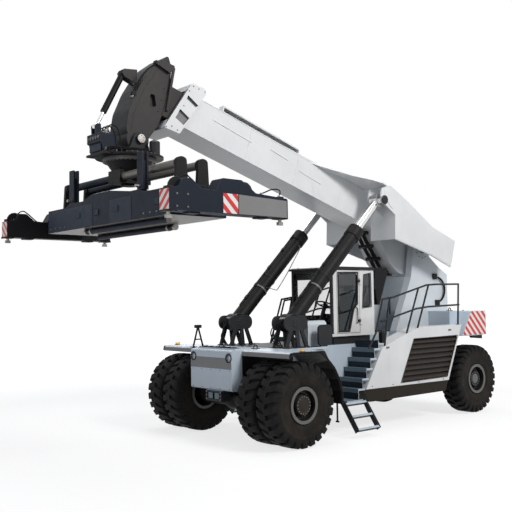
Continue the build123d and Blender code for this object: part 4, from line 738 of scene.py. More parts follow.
# ---- right mudguard: folding bracket shaped as an A, with its pad ----
shape = Shape(placed(z0=DECK_Z))
for y in (-0.32, -0.06):
    shape.tube((-1.0, y, 0), (-1.0, -0.19, 0.44), 0.020, 10)
    shape.box((-1.06, y - 0.06, 0), (-0.94, y + 0.06, 0.012), 0.003)
shape.tube((-1.0, -0.27, 0.16), (-1.0, -0.11, 0.16), 0.014, 10)
shape.box((-1.06, -0.25, 0.40), (-0.94, -0.13, 0.47), 0.012)
shape.piece("fender_bracket", "black_metal")

# ---- mudguard edges: rolled rubber lip, bolts ----
ARCH_R = 1.033
lip = [(-0.36, DECK_Z - 0.10), (-0.345, DECK_Z - 0.02), (-0.25, DECK_Z - 0.012), (0.10, DECK_Z - 0.012),
       (0.43, DECK_Z - 0.02)]
lip += [(ARCH_R * math.cos(t), TYRE_R + ARCH_R * math.sin(t)) for t in map(math.radians, (48, 38, 24, 10, -4))]
for s, side in SIDES:
    Shape(placed(s)).path(side_on(2.058, lip), 0.016, 10).piece(f"mudguard_lip_{side}", "hose", smooth=True)
    shape = Shape(placed(s))
    for y, z in lip[5:]:
        shape.bolts([(1.30 + 0.35 * k, y + 0.012, z + 0.014) for k in range(3)], (0, y, z - TYRE_R),
                    0.008, 0.008, False)
    shape.bolts([(2.02, -0.22 + 0.15 * k, DECK_Z) for k in range(5)], UP, 0.008, 0.006, False)
    shape.piece(f"mudguard_bolts_{side}", "bolt_steel")

# ---- lift cylinders: clamp bands, pipes, gland bolts, foot pins and hoses ----
RAM = Vector((0, EYE_Y - BASE_Y, EYE_Z - BASE_Z)).normalized()
RAM_UP = Vector((0, -RAM.z, RAM.y))
RAM_X = 0.88
FOOT_CAP = [(0.0, 0.098), (0.010, 0.094), (0.012, 0.02)]


def on_ram(s, along, up=0.0, side=0.0):
    """Point at a distance up a lift cylinder (s = 1 left), off its axis."""
    return at(s * (RAM_X + side), BASE_Y, BASE_Z) + RAM * along + RAM_UP * up


def round_ram(s, along, radius, count):
    """Points round a lift cylinder's axis."""
    return [on_ram(s, along, radius * math.sin(t), s * radius * math.cos(t)) for t in angles(count)]


for s, side in SIDES:
    body = BODY["lift_barrel_" + side]
    Shape().tube(on_ram(s, 1.00), on_ram(s, 1.04), 0.1735, 40).piece(f"ram_bands_{side}", "rim_grey", body, True)
    shape = Shape()
    for d in (0.62, 1.02, 1.60, 2.20):
        shape.box((-0.03, -0.04, 0), (0.03, 0.04, 0.035), 0.006, lambda x, y, z: on_ram(s, d + y, 0.155 + z, x))
    pipe = [on_ram(s, d, 0.185) for d in (0.36, 2.70)]
    shape.tube(*pipe, 0.014)
    for p, drop in zip(pipe, (0.065, 0.035)):
        shape.tube(p, p - RAM_UP * drop, 0.014)
    shape.piece(f"ram_pipe_{side}", "black_metal", body, True)
    shape = Shape()
    for a in round_ram(s, 2.898, 0.148, 16):
        shape.tube(a, a + RAM * 0.018, 0.012, 6)
    shape.piece(f"ram_gland_bolts_{side}", "bolt_steel", body)
    shape = Shape()
    shape.skin([round_ram(s, along, r, 40)
                for along, r in ((2.9, 0.104), (2.9, 0.128), (2.93, 0.124), (2.935, 0.106))], loop=True)
    shape.piece(f"ram_wiper_{side}", "steel", body, True)
    shape = Shape(placed(s, RAM_X, BASE_Y, BASE_Z))
    for out in (-1, 1):
        shape.pin_cap((out * 0.20, 0, 0), s * out, FOOT_CAP, 0.068, 6, 0.010, 0.012)
    shape.piece(f"foot_pin_caps_{side}", "dark_grey")
    for i in range(4):
        hose(f"foot_hose_{side}_{i}", [
            (0, -0.30 + 0.02 * i, 0.02), (0, -0.40, 0.16), (-0.02, -0.46 + 0.05 * i, 0.34),
            (-0.01, -0.30, 0.50 + 0.02 * i), (0, -0.17, 0.60)],
             0.013, place=placed(s, 0.80 + 0.045 * i, BASE_Y, DECK_Z))
    shape = Shape(placed(s, 0.0, BASE_Y, DECK_Z))
    for y in (-0.27, 0.06, 0.30):
        for x in (0.66, 1.02):
            shape.box((x, y - 0.07, 0), (x + 0.08, y + 0.07, 0.014), 0.003)
            shape.bolts([(x + 0.065, y + d, 0.014) for d in (-0.045, 0.045)], UP, 0.009, 0.012)
    shape.piece(f"foot_plates_{side}", "dark_grey")

# safety chain beside the right cylinder
start, end, links = at(-0.72, 2.62, 3.98), at(-0.72, 1.86, 3.0), 30
sag = [start.lerp(end, k / links) + Vector((0, -0.05, -0.10)) * math.sin(math.pi * k / links)
       for k in range(links + 1)]
shape = Shape()
for k, (p, q) in enumerate(zip(sag, sag[1:])):
    lean = Vector((0.008, 0, 0)) if k % 2 else Vector((0, 0.008, 0))
    shape.tube(p + lean, q + lean, 0.0055, 6).tube(p - lean, q - lean, 0.0055, 6)
shape.tube(start, on_ram(-1, 2.55, 0.0, -0.155), 0.008, 8).tube(end, on_ram(-1, 1.10, 0.0, -0.155), 0.008, 8)
shape.piece("ram_chain", "bolt_steel", BODY["lift_barrel_right"])

# ---- boom: pins, bolts, welds, hoses ----
PIVOT_CAP = [(0.0, 0.125), (0.014, 0.118), (0.016, 0.02)]
EYE_CAP = [(0.0, 0.105), (0.012, 0.100), (0.013, 0.02)]
EYE_BOSS = [(0.0, 0.098), (0.012, 0.092), (0.014, 0.02)]
COLLAR_BOLTS = [(7.07, 0.85), (7.22, 0.84), (7.36, 0.83), (7.42, 0.70), (7.46, 0.36), (7.60, -0.14), (7.72, -0.20),
                (7.46, -0.16)]
EYE_PLATE = [(1.84, 0.30), (2.20, 0.46), (2.20, 0.60), (2.05, 0.71), (1.86, 0.58)]
SEAMS = ((5.25, 0.692, 7.0, 0.692), (3.95, 0.692, 5.15, 0.692), (1.60, -0.018, 7.30, -0.018),
         (2.9, -0.01, 2.9, 0.69), (4.3, -0.01, 4.3, 0.69), (5.7, -0.01, 5.7, 0.69))
WING_SEAM = [(-0.60, -0.27), (0.14, -0.245), (1.52, -0.31)]
caps, tower, welds, collar, plates, eye_caps = (Shape() for _ in range(6))
for s in (-1, 1):
    out, x = (s, 0, 0), s * (BOOM_X + 0.001)
    caps.pin_cap((s * 0.67, PIVOT_Y, PIVOT_Z), s, PIVOT_CAP, 0.085, 8, 0.013, 0.014, 40)
    tower.bolts(circle(at(s * 0.63, PIVOT_Y, PIVOT_Z), 0, 0.235, 12), out, 0.012, 0.014)
    for u0, v0, u1, v1 in SEAMS:
        welds.weld(on_boom(x, u0, v0), on_boom(x, u1, v1), 0.005 if u0 == u1 else 0.006)
    for a, b in zip(WING_SEAM, WING_SEAM[1:]):
        welds.weld(on_boom(s * (WING_X + 0.001), *a), on_boom(s * (WING_X + 0.001), *b))
    collar.bolts([on_boom(s * 0.42, u, v) for u, v in COLLAR_BOLTS], out, 0.011, 0.010)
    plates.lathe((s * 1.061, EYE_Y, EYE_Z), 0, [(s * a, r) for a, r in EYE_BOSS], 32)
    plates.plate([on_boom(s * (WING_X + 0.002), u, v) for u, v in EYE_PLATE], out, 0.010, 0.003)
    eye_caps.pin_cap((s * (WING_X + 0.012), EYE_Y, EYE_Z), s, EYE_CAP, 0.075, 6, 0.010, 0.012)
caps.piece("pivot_caps", "dark_grey", "boom")
tower.piece("tower_bolts", "bolt_steel")
welds.piece("boom_welds", "boom_white", "boom", True)
collar.piece("collar_bolts", "bolt_steel", "boom")
plates.piece("eye_plates", "boom_white", "boom")
eye_caps.piece("eye_pin_caps", "dark_grey", "boom")
for i in range(3):
    hose(f"boom_hose_{i}", [on_boom(0.272 + 0.028 * i, u, 0.727 + 0.004 * math.sin(3.1 * u + i))
                            for u in (4.36, 4.8, 5.3, 5.8, 6.2, 6.48)], 0.012, "boom")


def boom_clamps(name, places, lo, hi, bevel, material, body):
    """Blocks on the boom at (u, v) places, each between two corners from there."""
    shape = Shape()
    for u, v in places:
        shape.box(lo, hi, bevel, lambda a, b, c: on_boom(a, u + b, v + c))
    shape.piece(name, material, body)


boom_clamps("boom_hose_clamps", [(u, 0.712) for u in (4.6, 5.05, 5.5, 5.95, 6.35)],
            (0.256, 0, 0), (0.345, 0.03, 0.034), 0.004, "dark_grey", "boom")
# bundle of hoses under the boom's foot, down to the deck behind the cab
BELLY = ((0, 1.66, -0.045, 0), (0, 1.50, -0.16, 1), (0.02, 1.30, -0.34, 1), (0.02, 1.05, -0.50, 1),
         (0, 0.78, -0.70, 1), (0, 0.55, -0.80, 0), (0, 0.36, -0.79, 0))  # shift in x, u, v, share of the sag
for i in range(6):
    hose(f"belly_hose_{i}", [on_boom(-0.16 + 0.055 * i + shift, u, v - 0.02 * (i % 3) * share)
                             for shift, u, v, share in BELLY], 0.017, "boom")
boom_clamps("belly_hose_clamps", ((1.56, -0.11), (1.30, -0.36), (0.98, -0.57), (0.62, -0.79)),
            (-0.21, -0.035, -0.035), (0.20, 0.035, 0.030), 0.01, "black_metal", "boom")
# hose loop on the left tower
TOWER_LOOP = ((0.645, -0.18, 3.30), (0.67, -0.06, 3.28), (0.68, 0.10, 3.12), (0.67, 0.13, 2.90), (0.66, 0.03, 2.72),
              (0.645, -0.10, 2.66))
for i in range(2):
    hose(f"tower_hose_{i}", TOWER_LOOP, 0.015, place=placed(y0=WHEEL_BASE + 0.035 * i))
Shape(placed(y0=WHEEL_BASE)).box((0.63, -0.30, 3.24), (0.67, -0.14, 3.38), 0.008).box(
    (0.63, -0.22, 2.58), (0.67, -0.06, 2.72), 0.008).piece("tower_hose_blocks", "black_metal")

# ---- gooseneck: pin caps, seam round its cheek, side bolts, hoses ----
HEAD_CAP = [(0.0, 0.085), (0.012, 0.080), (0.014, 0.02)]
CHEEK = [(7.86, 0.98), (8.00, 1.13), (8.16, 0.86), (8.33, 0.30), (8.40, -0.18), (8.36, -0.54)]
NECK_HOSE = ((7.92, 0.96), (8.10, 0.97), (8.27, 0.86), (8.40, 0.62), (8.475, 0.30), (8.51, 0.05))
caps, trim = Shape(), Shape()
for s in (-1, 1):
    caps.pin_cap((s * 0.42, HEAD_Y, HEAD_PIN_Z), s, HEAD_CAP, 0.055, 6, 0.009, 0.010)
    seam = [on_boom(s * 0.301, u - 0.02, v - 0.02) for u, v in CHEEK]
    for a, b in zip(seam, seam[1:]):
        trim.weld(a, b)
    trim.bolts([on_boom(s * 0.301, 7.90, v) for v in (0.06, 0.30, 0.54)], (s, 0, 0), 0.012, 0.012)
caps.piece("head_pin_caps", "steel", "inner_boom")
trim.piece("gooseneck_trim", "gooseneck_grey", "inner_boom", True)
for i in range(3):
    hose(f"guide_hose_{i}", [on_boom(0.268 + 0.028 * i, u, v) for u, v in NECK_HOSE], 0.012, "inner_boom")
boom_clamps("guide_hose_clamps", ((8.21, 0.93), (8.49, 0.14)), (0.25, -0.03, -0.03), (0.345, 0.03, 0.03), 0.006,
            "black_metal", "inner_boom")

# ---- head: ring of bolts, light race, valve block fittings, hoses ----
MOTOR_CAP = [(0.0, 0.092), (0.018, 0.085), (0.034, 0.05), (0.036, 0.01)]
repaint("rotator", "rim_grey", lambda c, n: c.z > HANGER_Z - 0.071 and n.z < 0.5)
repaint("hanger", "dark_grey", lambda c, n: c.z > HANGER_TOP + 0.02)
repaint("valve_block", "navy")
head = at(0, HEAD_Y, HANGER_TOP)
shape = Shape().bolts([p for p in circle(head, 2, 0.605, 40) if abs(p.x) > 0.36 or p.y > head.y + 0.2],
                      UP, 0.012, 0.016)
for s in (-1, 1):
    centre = at(s * 0.475, HEAD_Y + 0.25, HANGER_TOP + 0.24)
    shape.lathe(centre, 2, MOTOR_CAP, 28).bolts(circle(centre, 2, 0.078, 6), UP, 0.009, 0.012, False)
shape.piece("head_bolts", "bolt_steel", "head")
Shape().bolts(circle(at(0, HEAD_Y, HANGER_Z - 0.07), 2, 0.47, 36), (0, 0, -1), 0.011, 0.014, False).piece(
    "race_bolts", "bolt_steel", "rotator")
VALVE_Y, VALVE_TOP, VALVE_PITCH = HEAD_Y - 0.76, HANGER_TOP + 0.35, 0.095
on_valve = placed(y0=VALVE_Y, z0=VALVE_TOP)
shape = Shape(on_valve)
for x in [VALVE_PITCH * k for k in range(-2, 3)]:
    shape.tube((x, 0.005, -0.08), (x, -0.012, -0.08), 0.030, 16)
    shape.tube((x, -0.005, -0.08), (x, -0.022, -0.08), 0.018, 6).tube((x, 0.18, 0), (x, 0.18, 0.05), 0.019, 6)
shape.piece("valve_fittings", "bolt_steel", "head")
Shape(placed(y0=VALVE_Y, z0=HANGER_TOP)).plate(
    ((-0.20, 0.036, 0.03), (0.20, 0.036, 0.03), (0.20, 0.040, 0.15), (-0.20, 0.040, 0.15)),
    FORWARD, 0.012, 0.004).piece("valve_cover", "navy_light", "head")
VALVE_HOSE = ((0, 0.18, 0.05), (0, 0.185, 0.13), (1, 0.24, 0.17), (2, 0.33, 0.10), (2.4, 0.37, -0.10),
              (2.5, 0.375, -0.29))  # share of the lean in x, then y and z from the block's front and top
for i in range(5):
    hose(f"valve_hose_{i}", [((VALVE_PITCH + 0.03 * lean) * (i - 2), y, z) for lean, y, z in VALVE_HOSE],
         0.013, "head", on_valve)
PLATE_HOSE = ((0.26, -0.66, 0), (0.40, -0.64, 0.02), (0.50, -0.42, 0), (0.56, -0.18, 0.01), (0.545, 0.02, 0))
for i in range(4):
    shift = 0.06 * (i // 2)
    hose(f"plate_hose_{i}", [(x, y + shift, z) for x, y, z in PLATE_HOSE] + [(0.50, 0.12, 0.03)],
         0.012, "head", placed(y0=HEAD_Y, z0=HANGER_TOP + 0.035 + 0.028 * (i % 2)))

# ---- sliding tubes of the side shift ----
TUBE_Y, TUBE_Z = 0.22, HEAD_PIN_Z - 0.69
ends = Shape()
for s, side in SIDES:
    shape, out = Shape(), (s, 0, 0)
    for y in (HEAD_Y - TUBE_Y, HEAD_Y + TUBE_Y):
        shape.tube((0, y, TUBE_Z), (s * 1.95, y, TUBE_Z), 0.0745, 40)
        outline = [(y - 0.13, SPREAD_Z1 - 0.05), (y + 0.13, SPREAD_Z1 - 0.05), (y + 0.100, TUBE_Z + 0.035)]
        outline += [(y + 0.100 * math.cos(a), TUBE_Z + 0.035 + 0.065 * math.sin(a))
                    for a in [math.pi * k / 8 for k in range(1, 8)]]
        ends.plate(side_on(s * 1.945, outline + [(y - 0.100, TUBE_Z + 0.035)]), out, 0.07, 0.006)
        ends.tube((s * 1.90, y, TUBE_Z), (s * 1.948, y, TUBE_Z), 0.098, 32)
    ends.box((s * 1.95, HEAD_Y - 0.30, SPREAD_Z1 - 0.06), (s * 2.01, HEAD_Y + 0.30, SPREAD_Z1 + 0.06), 0.006)
    tubes = shape.piece("shift_tubes_" + side, "pipe_beige" if s > 0 else "navy", "spreader", True)
    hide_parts("guide_tubes")
tube_ends = ends.piece("shift_tube_ends", "black_metal", "spreader")
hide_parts("guide_tubes")

# ---- spreader: lighter navy sheets as painted light on the front facets, cylinder heads, plates, bolts and small gear ----
repaint("posts", "steel", lambda c, n: c.y < HEAD_Y - 0.561)
lit_facet_sheets, heads, plates, bolts = (Shape(placed(y0=HEAD_Y, z0=SPREAD_Z0)) for _ in range(4))
# Thin sheets on the frame's front in lighter navy: painted light, standing for front facets turned towards the light.
for x0, x1 in ((-2.14, -0.35), (0.30, 1.02)):
    lit_facet_sheets.plate(end_on(-0.602, rectangle(x0, 0.012, x1, 0.42)), FORWARD, 0.003, 0.001)
for s in (-1, 1):
    for x, r in ((0.90, 0.060), (0.70, 0.064)):
        heads.tube((s * x, s * 0.42, -0.055), (s * (x - 0.05), s * 0.42, -0.055), r, 24)
    y = s * 0.602
    for x in (-0.95, -0.25, 0.45, 1.75):
        plates.box((x, y, 0.20), (x + 0.14, y + s * 0.012, 0.30), 0.004)
    for x0, x1 in ((-2.12, -1.42), (1.42, 2.12)):
        plates.weld((x0, y, 0.44), (x1, y, 0.44))
    for y in (-1, 1):
        bolts.bolts([(s * x, y * 0.60, 0.08) for x in (1.42, 1.62, 1.82, 2.02)], (0, y, 0), 0.014, 0.014)
    bolts.bolts([(s * 2.15, 0.29 * (k - 1), z) for k in range(4) for z in (0.10, 0.33)], (s, 0, 0), 0.012, 0.012)
lit_facet_sheets.piece("frame_facets", "navy_light", "spreader")
heads.piece("extend_cylinder_heads", "steel", "spreader", True)
plates.piece("frame_plates", "navy_light", "spreader")
bolts.piece("frame_bolts", "bolt_steel", "spreader")
BEAM_HOSES = (  # name, radius, then x in from the beam's end, y from the head, z from the beam's foot
    ("beam_hose_", 0.011, ((0.13, 1.10, 0.37), (0.13, 1.16, 0.43), (0.12, 1.12, 0.50), (0.13, 0.95, 0.49),
                           (0.14, 0.80, 0.42), (0.14, 0.72, 0.395))),
    ("beam_front_hose_", 0.012, ((0.13, -1.00, 0.38), (0.13, -0.86, 0.62), (0.14, -0.66, 0.50), (0.14, -0.50, 0.36))),
)
for s, side in SIDES:
    body, on_beam = BODY["end_beam_" + side], placed(s, BEAM_X1, HEAD_Y, END_Z0)
    shape = Shape(on_beam)
    for y, h in ((-0.98, 0.17), (0.36, 0.20)):
        turns = [math.pi * k / 8 for k in range(9)]
        shape.plate(side_on(-0.13, [(y - 0.17 * math.cos(t), 0.36 + h * math.sin(t)) for t in turns]),
                    (s, 0, 0), 0.020, 0.004)
    for y in (-1.1295, 1.1295):
        shape.box((-0.235, y - 0.095, -0.012), (-0.025, y + 0.095, 0.012), 0.006)
        shape.box((-0.19, y - 0.05, 0.325), (-0.07, y + 0.05, 0.375), 0.010)
    shape.piece(f"beam_gear_{side}", "black_metal", body)
    Shape(on_beam).bolts([(0, y, z) for y in (-1.06, -0.86) for z in (0.06, 0.25)], (s, 0, 0), 0.013, 0.013).piece(
        f"beam_bolts_{side}", "bolt_steel", body)
    for stem, radius, points in BEAM_HOSES:
        hose(stem + side, [(-x, y, z) for x, y, z in points], radius, body, on_beam)

# ---- cab: window gaskets, door gear, wiper, trim ----
DOOR_WINDOW = [(2.48, 2.08), (2.48, 3.34), (3.08, 3.35), (3.06, 2.68), (2.94, 2.56), (2.79, 2.08)]
REAR_WINDOW = [(3.25, 2.57), (3.31, 3.32), (3.55, 3.36), (3.55, 2.60)]
RIGHT_WINDOW = [(2.40, 2.40), (2.40, 3.37), (3.52, 3.37), (3.52, 2.40)]
GASKET = 0.006
door = BODY["cab_door"]
repaint("door_glass", "glass_dark")
repaint("cab_glass", "glass_dark", lambda c, n: c.x > CAB_X - 0.03 and c.y > CAB_Y0 + 0.8)
Shape().frame(side_on(CAB_X, DOOR_WINDOW), (1, 0, 0), 0.042, GASKET).piece("door_gasket", "seal", door)
Shape().frame(side_on(CAB_X, REAR_WINDOW), (1, 0, 0), 0.016, GASKET).frame(
    side_on(-CAB_X, RIGHT_WINDOW), (-1, 0, 0), 0.020, GASKET).frame(
    end_on(CAB_Y1, rectangle(-0.52, 2.70, 0.52, 3.37)), (0, 1, 0), 0.020, GASKET).piece("window_gaskets", "seal")
Shape(placed(x0=CAB_X)).path(
    end_on(3.045, ((0.004, 2.22), (0.039, 2.25), (0.039, 2.55), (0.004, 2.58))), 0.011).box(
    (0, 2.445, 2.46), (0.022, 2.475, 2.62), 0.004).box((0.016, 2.45, 2.50), (0.034, 2.56, 2.53), 0.005).piece(
    "door_handle", "black_metal", door, True)
Shape(placed(y0=CAB_Y0)).tube((0.0, 0.006, 2.24), (0.16, 0.010, 2.86), 0.008, 10).tube(
    (0.155, 0.010, 2.60), (0.165, 0.010, 3.20), 0.006, 8).box(
    (-0.04, -0.012, 2.20), (0.04, 0.012, 2.27), 0.006).piece("wiper", "seal", smooth=True)
shape = Shape()
for x in (-0.50, 0.50):
    shape.tube((x, CAB_Y0 + 0.10, CAB_Z1), (x, CAB_Y0 + 0.10, CAB_Z1 + 0.012), 0.030, 16)
for y in (2.6, 3.0, 3.4):
    shape.box((-0.50, y, CAB_Z1 - 0.002), (0.50, y + 0.04, CAB_Z1 + 0.010), 0.004)
shape.piece("roof_ribs", "cab_white")


def tilted(z0, slope):
    """Machine coordinates that lean back by a slope above a height."""
    return lambda x, y, z: at(x, y + slope * (z - z0), z)


shape = Shape().box((-0.56, 2.33, 2.01), (-0.20, 2.50, 2.20), 0.02)
shape.box((-0.50, 2.36, 2.52), (-0.24, 2.40, 2.72), 0.008, tilted(2.52, 0.25))
shape.tube((-0.37, 2.42, 2.18), (-0.37, 2.40, 2.54), 0.016)
for x in (0.06, 0.20):
    shape.box((x, 2.34, 2.05), (x + 0.08, 2.365, 2.22), 0.006, tilted(2.05, 0.5))
shape.box((-0.585, 2.33, 3.400), (0.585, 3.56, 3.425), 0.004).box((-0.56, 2.30, 3.22), (0.20, 2.315, 3.38), 0.004)
shape.box((-0.595, 2.31, 2.008), (0.595, 3.595, 2.019), 0.002).piece("cab_trim", "trim_plastic")
Shape().box((-0.485, 2.399, 2.535), (-0.255, 2.403, 2.705), 0.001, tilted(2.52, 0.25)).piece(
    "cab_screen", "glass_dark")

# ---- seat: suspension base, arm rests and console, then three crowned pads with piping ----
LEVER = [(0.0, 0.010), (0.01, 0.020), (0.045, 0.024), (0.075, 0.020), (0.088, 0.008)]
shape = Shape().box((-0.17, 3.00, 2.010), (0.17, 3.40, 2.045), 0.006)
for k in range(5):
    half, z = 0.150 - 0.008 * (k % 2), 2.045 + 0.040 * k
    shape.box((-half, 3.03, z), (half, 3.37, z + 0.038), 0.012)
shape.box((-0.20, 2.98, 2.245), (0.20, 3.41, 2.300), 0.012)
for s in (-1, 1):
    shape.box((s * 0.275, 3.04, 2.57), (s * 0.335, 3.40, 2.615), 0.016)
    shape.tube((s * 0.29, 3.40, 2.59), (s * 0.235, 3.43, 2.50), 0.016)
    shape.tube((s * 0.06, 3.462, 2.88), (s * 0.06, 3.468, 2.99), 0.007, 10)
soft = [shape.piece("seat_base", "trim_plastic")]
shape = Shape().box((-0.46, 3.00, 2.01), (-0.34, 3.40, 2.42), 0.014).box(
    (-0.45, 3.04, 2.42), (-0.35, 3.20, 2.432), 0.004).tube((-0.40, 3.09, 2.43), (-0.40, 3.075, 2.55), 0.010)
shape.lathe((-0.40, 3.07, 2.53), 2, LEVER, 24)
for x in (-0.42, -0.38):
    for y in (3.26, 3.30):
        shape.tube((x, y, 2.418), (x, y, 2.428), 0.010, 16)
soft.append(shape.piece("seat_console", "trim_plastic"))
PAD_STEPS = 44


def pad(name, place, half_a, half_b, top, under, channels):
    """Crowned foam pad: sides drawn in between the corners, sewn channels (axis, where, depth), piping round it."""

    def point(u, v, side):
        a = half_a * u * (1 - 0.035 * (1 - v * v))
        b = half_b * v * (1 - 0.035 * (1 - u * u))
        round_off = ((1 - u ** 6) * (1 - v ** 6)) ** 0.42
        if side < 0:
            return place(a, b, -under * round_off)
        crown = 0.72 + 0.28 * (1 - u * u) * (1 - v * v) + 0.16 * min(1.0, abs(u) / 0.62) ** 3
        dip = sum(depth * math.exp(-(((u, v)[axis] - where) / 0.035) ** 2) for axis, where, depth in channels)
        return place(a, b, top * round_off * crown - dip * round_off)

    steps = [-1 + 2 * k / PAD_STEPS for k in range(PAD_STEPS + 1)]
    steps = [math.copysign(1 - (1 - abs(t)) ** 1.5, t) for t in steps]
    shape = Shape()
    for side in (1, -1):
        shape.skin([[point(u, v, side) for v in steps] for u in steps], strip=True)
    bmesh.ops.remove_doubles(shape.bm, verts=shape.bm.verts, dist=0.00001)
    made = shape.piece(name, "seat_fabric", "chassis", True)
    made.data.shade_smooth()
    edge_steps = [(u, -1) for u in steps[:-1]] + [(1, v) for v in steps[:-1]]
    edge_steps += [(-u, -v) for u, v in edge_steps]
    points = [point(u, v, -1) for u, v in edge_steps]
    shape = Shape()
    for p, q in zip(points, points[1:] + points[:1]):
        shape.tube(p, q, 0.0045, 8)
    return [made, shape.piece(name + "_piping", "seal", "chassis", True)]


def lying(a, b, c):
    return at(a, 3.19 + b, 2.36 + c)


def leaning(centre_z):
    return lambda a, b, c: at(a, 3.452 + 0.10 * (centre_z + b - 2.64) - c, centre_z + b)


soft += pad("seat_cushion", lying, 0.255, 0.235, 0.085, 0.055,
            [(0, -0.56, 0.012), (0, 0.56, 0.012), (1, -0.1, 0.007)])
soft += pad("seat_back", leaning(2.65), 0.245, 0.275, 0.075, 0.035,
            [(0, -0.54, 0.012), (0, 0.54, 0.012), (1, -0.35, 0.008), (1, 0.25, 0.008)])
soft += pad("seat_headrest", leaning(3.025), 0.135, 0.070, 0.055, 0.030, [])
for part in soft:
    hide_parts("seat")

# ---- stairs, ladder, handrail feet, mudguard stay, dark sheet of painted shade in the wheel arch; side cover: grille frame, latches ----
STEP_Y, STEP_RUN, STEP_Z, STEP_RISE = 2.0, 0.132, 0.91, 0.2025
for s, side in SIDES:
    out, x, mine = (s, 0, 0), s * COVER_X, placed(s)
    shape = Shape(mine)
    for k in range(5):
        y, z = STEP_Y + STEP_RUN * k, STEP_Z + STEP_RISE * k
        shape.box((0.945, y - 0.012, z - 0.085), (1.582, y + 0.010, z + 0.006), 0.006)
    shape.piece(f"stair_nosings_{side}", "step_blue")
    start, end = at(s * 1.615, 0, 0.685), at(s * 2.005, 0, 0.135)
    length, along = (end - start).length, (end - start).normalized()
    across = Vector((along.z, 0, -along.x))
    shape = Shape()
    for y in (1.486, 2.138):
        bars = [((0, z, 0), (length, z + 0.022, 0.006)) for z in (-0.062, 0.040)]
        bars += [((a, -0.045, 0), (a + 0.05, 0.045, 0.006)) for a in [(length - 0.05) * k / 3 for k in range(4)]]
        for lo, hi in bars:
            shape.box(lo, hi, 0.001, lambda a, b, c: start + along * a + across * b + Vector((0, y + c, 0)))
    shape.piece(f"ladder_rails_{side}", "step_dark")
    shape = Shape(mine)
    for y, z in ((3.64, 1.96), (4.04, 2.08), (5.59, 2.12)):
        shape.box((1.52, y - 0.045, z - 0.003), (1.595, y + 0.045, z + 0.012), 0.003)
        shape.bolts([(1.535, y + d, z + 0.012) for d in (-0.03, 0.03)], UP, 0.008, 0.010)
    shape.piece(f"rail_feet_{side}", "dark_grey")
    Shape(mine).box((1.885, 1.020, 0.37), (1.915, 1.045, 0.80), 0.004).box(
        (1.86, 1.018, 0.37), (1.94, 1.047, 0.40), 0.004).piece(f"mudguard_stay_{side}", "black_metal")
    # A thin black sheet with bolt heads over the wheel arch's wall: painted shade of the arch's inside.
    shade_sheet = NOSE_X + 0.008
    Shape(mine).box((NOSE_X, -0.355, 1.09), (shade_sheet, 1.02, DECK_Z - 0.055), 0.002).bolts(
        [(shade_sheet, y, z) for y in (-0.30, 0.10, 0.55, 0.95) for z in (1.14, 1.69)], out, 0.012, 0.008, False).piece(
        f"arch_liner_{side}", "black_metal")
    Shape().frame(side_on(x, GRILLE), out, 0.014, 0.008).piece(f"grille_frame_{side}", "grille_dark")
    shape = Shape()
    for y, z in ((2.95, 1.72), (5.20, 2.02)):
        shape.box((x, y - 0.05, z - 0.02), (x + s * 0.012, y + 0.05, z + 0.02), 0.004)
        shape.tube((x + s * 0.010, y, z), (x + s * 0.018, y, z), 0.013)
    shape.bolts(side_on(x, ((2.42, 0.93), (3.10, 0.915), (4.00, 0.905), (4.90, 0.895))), out, 0.011, 0.009, False)
    shape.piece(f"cover_latches_{side}", "bolt_steel")

Shape().box((1.505, 2.765, 1.82), (1.615, 2.880, 2.06), 0.022).box(
    (1.540, 2.870, 1.90), (1.580, 2.925, 1.98), 0.006).tube((1.56, 3.10, 2.785), (1.56, 3.10, 2.43), 0.020, 14).box(
    (1.535, 3.07, 2.76), (1.585, 3.13, 2.81), 0.006).piece("rail_gear", "black_metal")

# ---- tail: radiator louvres, hitch, counterweight bolts; hood louvres and handles ----
louvres, hitch, bolts, slats, handles = (Shape() for _ in range(5))
for k in range(9):
    z = 1.12 + 0.09 * k
    louvres.box((-0.38, TAIL_Y - 0.004, z), (0.38, TAIL_Y + 0.022, z + 0.05), 0.004, tilted(z + 0.025, -0.35))
louvres.frame(end_on(TAIL_Y, rectangle(-0.39, 1.10, 0.39, 1.91)), (0, 1, 0), 0.03, 0.014)
for z in (0.93, 1.03):
    hitch.box((-0.14, TAIL_Y - 0.004, z - 0.012), (0.14, TAIL_Y + 0.13, z + 0.012), 0.005)
for z0, z1, r in ((0.90, 1.10, 0.022), (1.10, 1.12, 0.036)):
    hitch.tube((0, TAIL_Y + 0.08, z0), (0, TAIL_Y + 0.08, z1), r, 20)
for s in (-1, 1):
    bolts.bolts([(s * x, TAIL_Y, DECK_Z + z) for x in (0.62, 1.50) for z in (0.12, 0.54)], (0, 1, 0), 0.022, 0.020)
    bolts.bolts([(s * 1.1, WHEEL_BASE + y, DECK_Z + 0.64) for y in (-0.2, 0.3)], UP, 0.022, 0.018, False)
    for k in range(10):
        y = 3.92 + 0.09 * k
        slats.box((s * 0.10, y, 1.972), (s * 0.34, y + 0.045, 1.992), 0.004)
    handles.path([(s * x, 3.76, z) for x, z in ((0.30, 1.975), (0.30, 2.015), (0.16, 2.015), (0.16, 1.975))],
                 0.009, 10)
louvres.piece("tail_louvres", "grille_dark")
hitch.piece("hitch", "black_metal")
bolts.piece("counterweight_bolts", "bolt_steel")
slats.piece("hood_louvres", "grille_dark", BODY["engine_hood"])
handles.piece("hood_handles", "black_metal", BODY["engine_hood"], True)

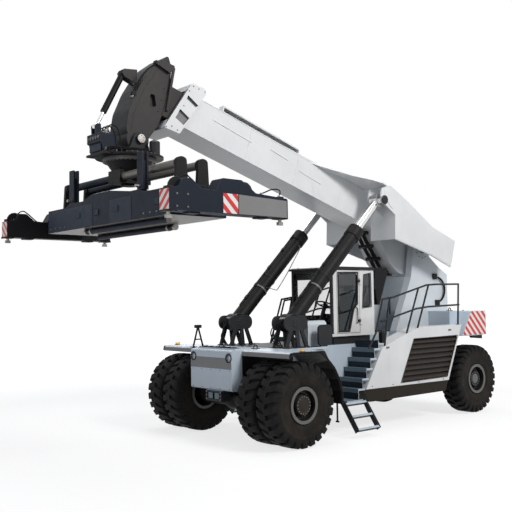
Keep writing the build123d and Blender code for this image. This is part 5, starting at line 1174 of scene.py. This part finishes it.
# ---- camera, light and floor ----
CAMERA_PLACE = at(12.61, -10.21, 2.78)
AZIMUTH, PITCH, ROLL = 49.33, 3.23, -0.85
LENS_PX, FRAME_PX, SENSOR = 781.7, 512, 36.0
scene = bpy.context.scene
data = bpy.data.cameras.new("camera")
data.sensor_width, data.lens, data.clip_end = SENSOR, LENS_PX * SENSOR / FRAME_PX, 300
scene.camera = link("camera", data)
scene.camera.matrix_world = (
    Matrix.Translation(CAMERA_PLACE)
    @ Matrix.Rotation(math.radians(AZIMUTH), 4, "Z")
    @ Matrix.Rotation(math.radians(90 + PITCH), 4, "X")
    @ Matrix.Rotation(math.radians(ROLL), 4, "Z")
)

scene.world = bpy.data.worlds.new("world")
scene.world.use_nodes = True
sky = Nodes(scene.world.node_tree)
sky.feed(sky.tree.nodes["Background"], {"Color": sky.mix(sky.seen_rays(), (0.31, 0.33, 0.36), (1.0, 1.0, 1.0)),
                                        "Strength": 1.0})


def area_light(name, place, target, size, power, colour=(1, 1, 1)):
    data = bpy.data.lights.new(name, "AREA")
    data.size, data.energy, data.color = size, power, colour
    aim = (target - place).to_track_quat("-Z", "Y")
    link(name, data).matrix_world = Matrix.Translation(place) @ aim.to_matrix().to_4x4()


area_light("key", at(17, 4, 15), at(0, 2, 2.5), 6.0, 2700, (1.0, 0.985, 0.96))
area_light("fill", at(5, -17, 9), at(0, 1, 2), 9.0, 620, (0.93, 0.96, 1.0))
area_light("top", at(-2, 3, 19), at(0, 2, 2), 10.0, 900)
area_light("back", at(-14, 10, 10), at(0, 2, 2), 9.0, 380)

# The floor is a pale matt sheet that is lifted to white for the eye alone, so it keeps the shadow.
FLOOR_NEAR, FLOOR_FAR, FLOOR_HALF, FAR_AWAY = 0.74, 1.0, 120, 40.0
f = Finish()
f.material.name = "floor"
reach = f.add("VectorMath", {0: f.place()}, "Value", operation="LENGTH")
lift = f.times_plus(f.mask(f.calc("DIVIDE", reach, FAR_AWAY), 0.22, 0.50), FLOOR_FAR - FLOOR_NEAR, FLOOR_NEAR)
f.done({"Base Color": (0.28, 0.28, 0.28), "Roughness": 0.9, "Specular IOR Level": 0.0,
        "Emission Color": (1, 1, 1), "Emission Strength": f.calc("MULTIPLY", f.seen_rays(), lift)})
mesh = bpy.data.meshes.new("floor")
bm = bmesh.new()
bmesh.ops.create_grid(bm, x_segments=1, y_segments=1, size=FLOOR_HALF)
bm.to_mesh(mesh)
bm.free()
mesh.materials.append(f.material)
floor = link("floor", mesh)
floor.location = (0, 0, CAD_BOX[0][2] - 0.002)

bpy.context.scene.view_settings.view_transform = "Standard"
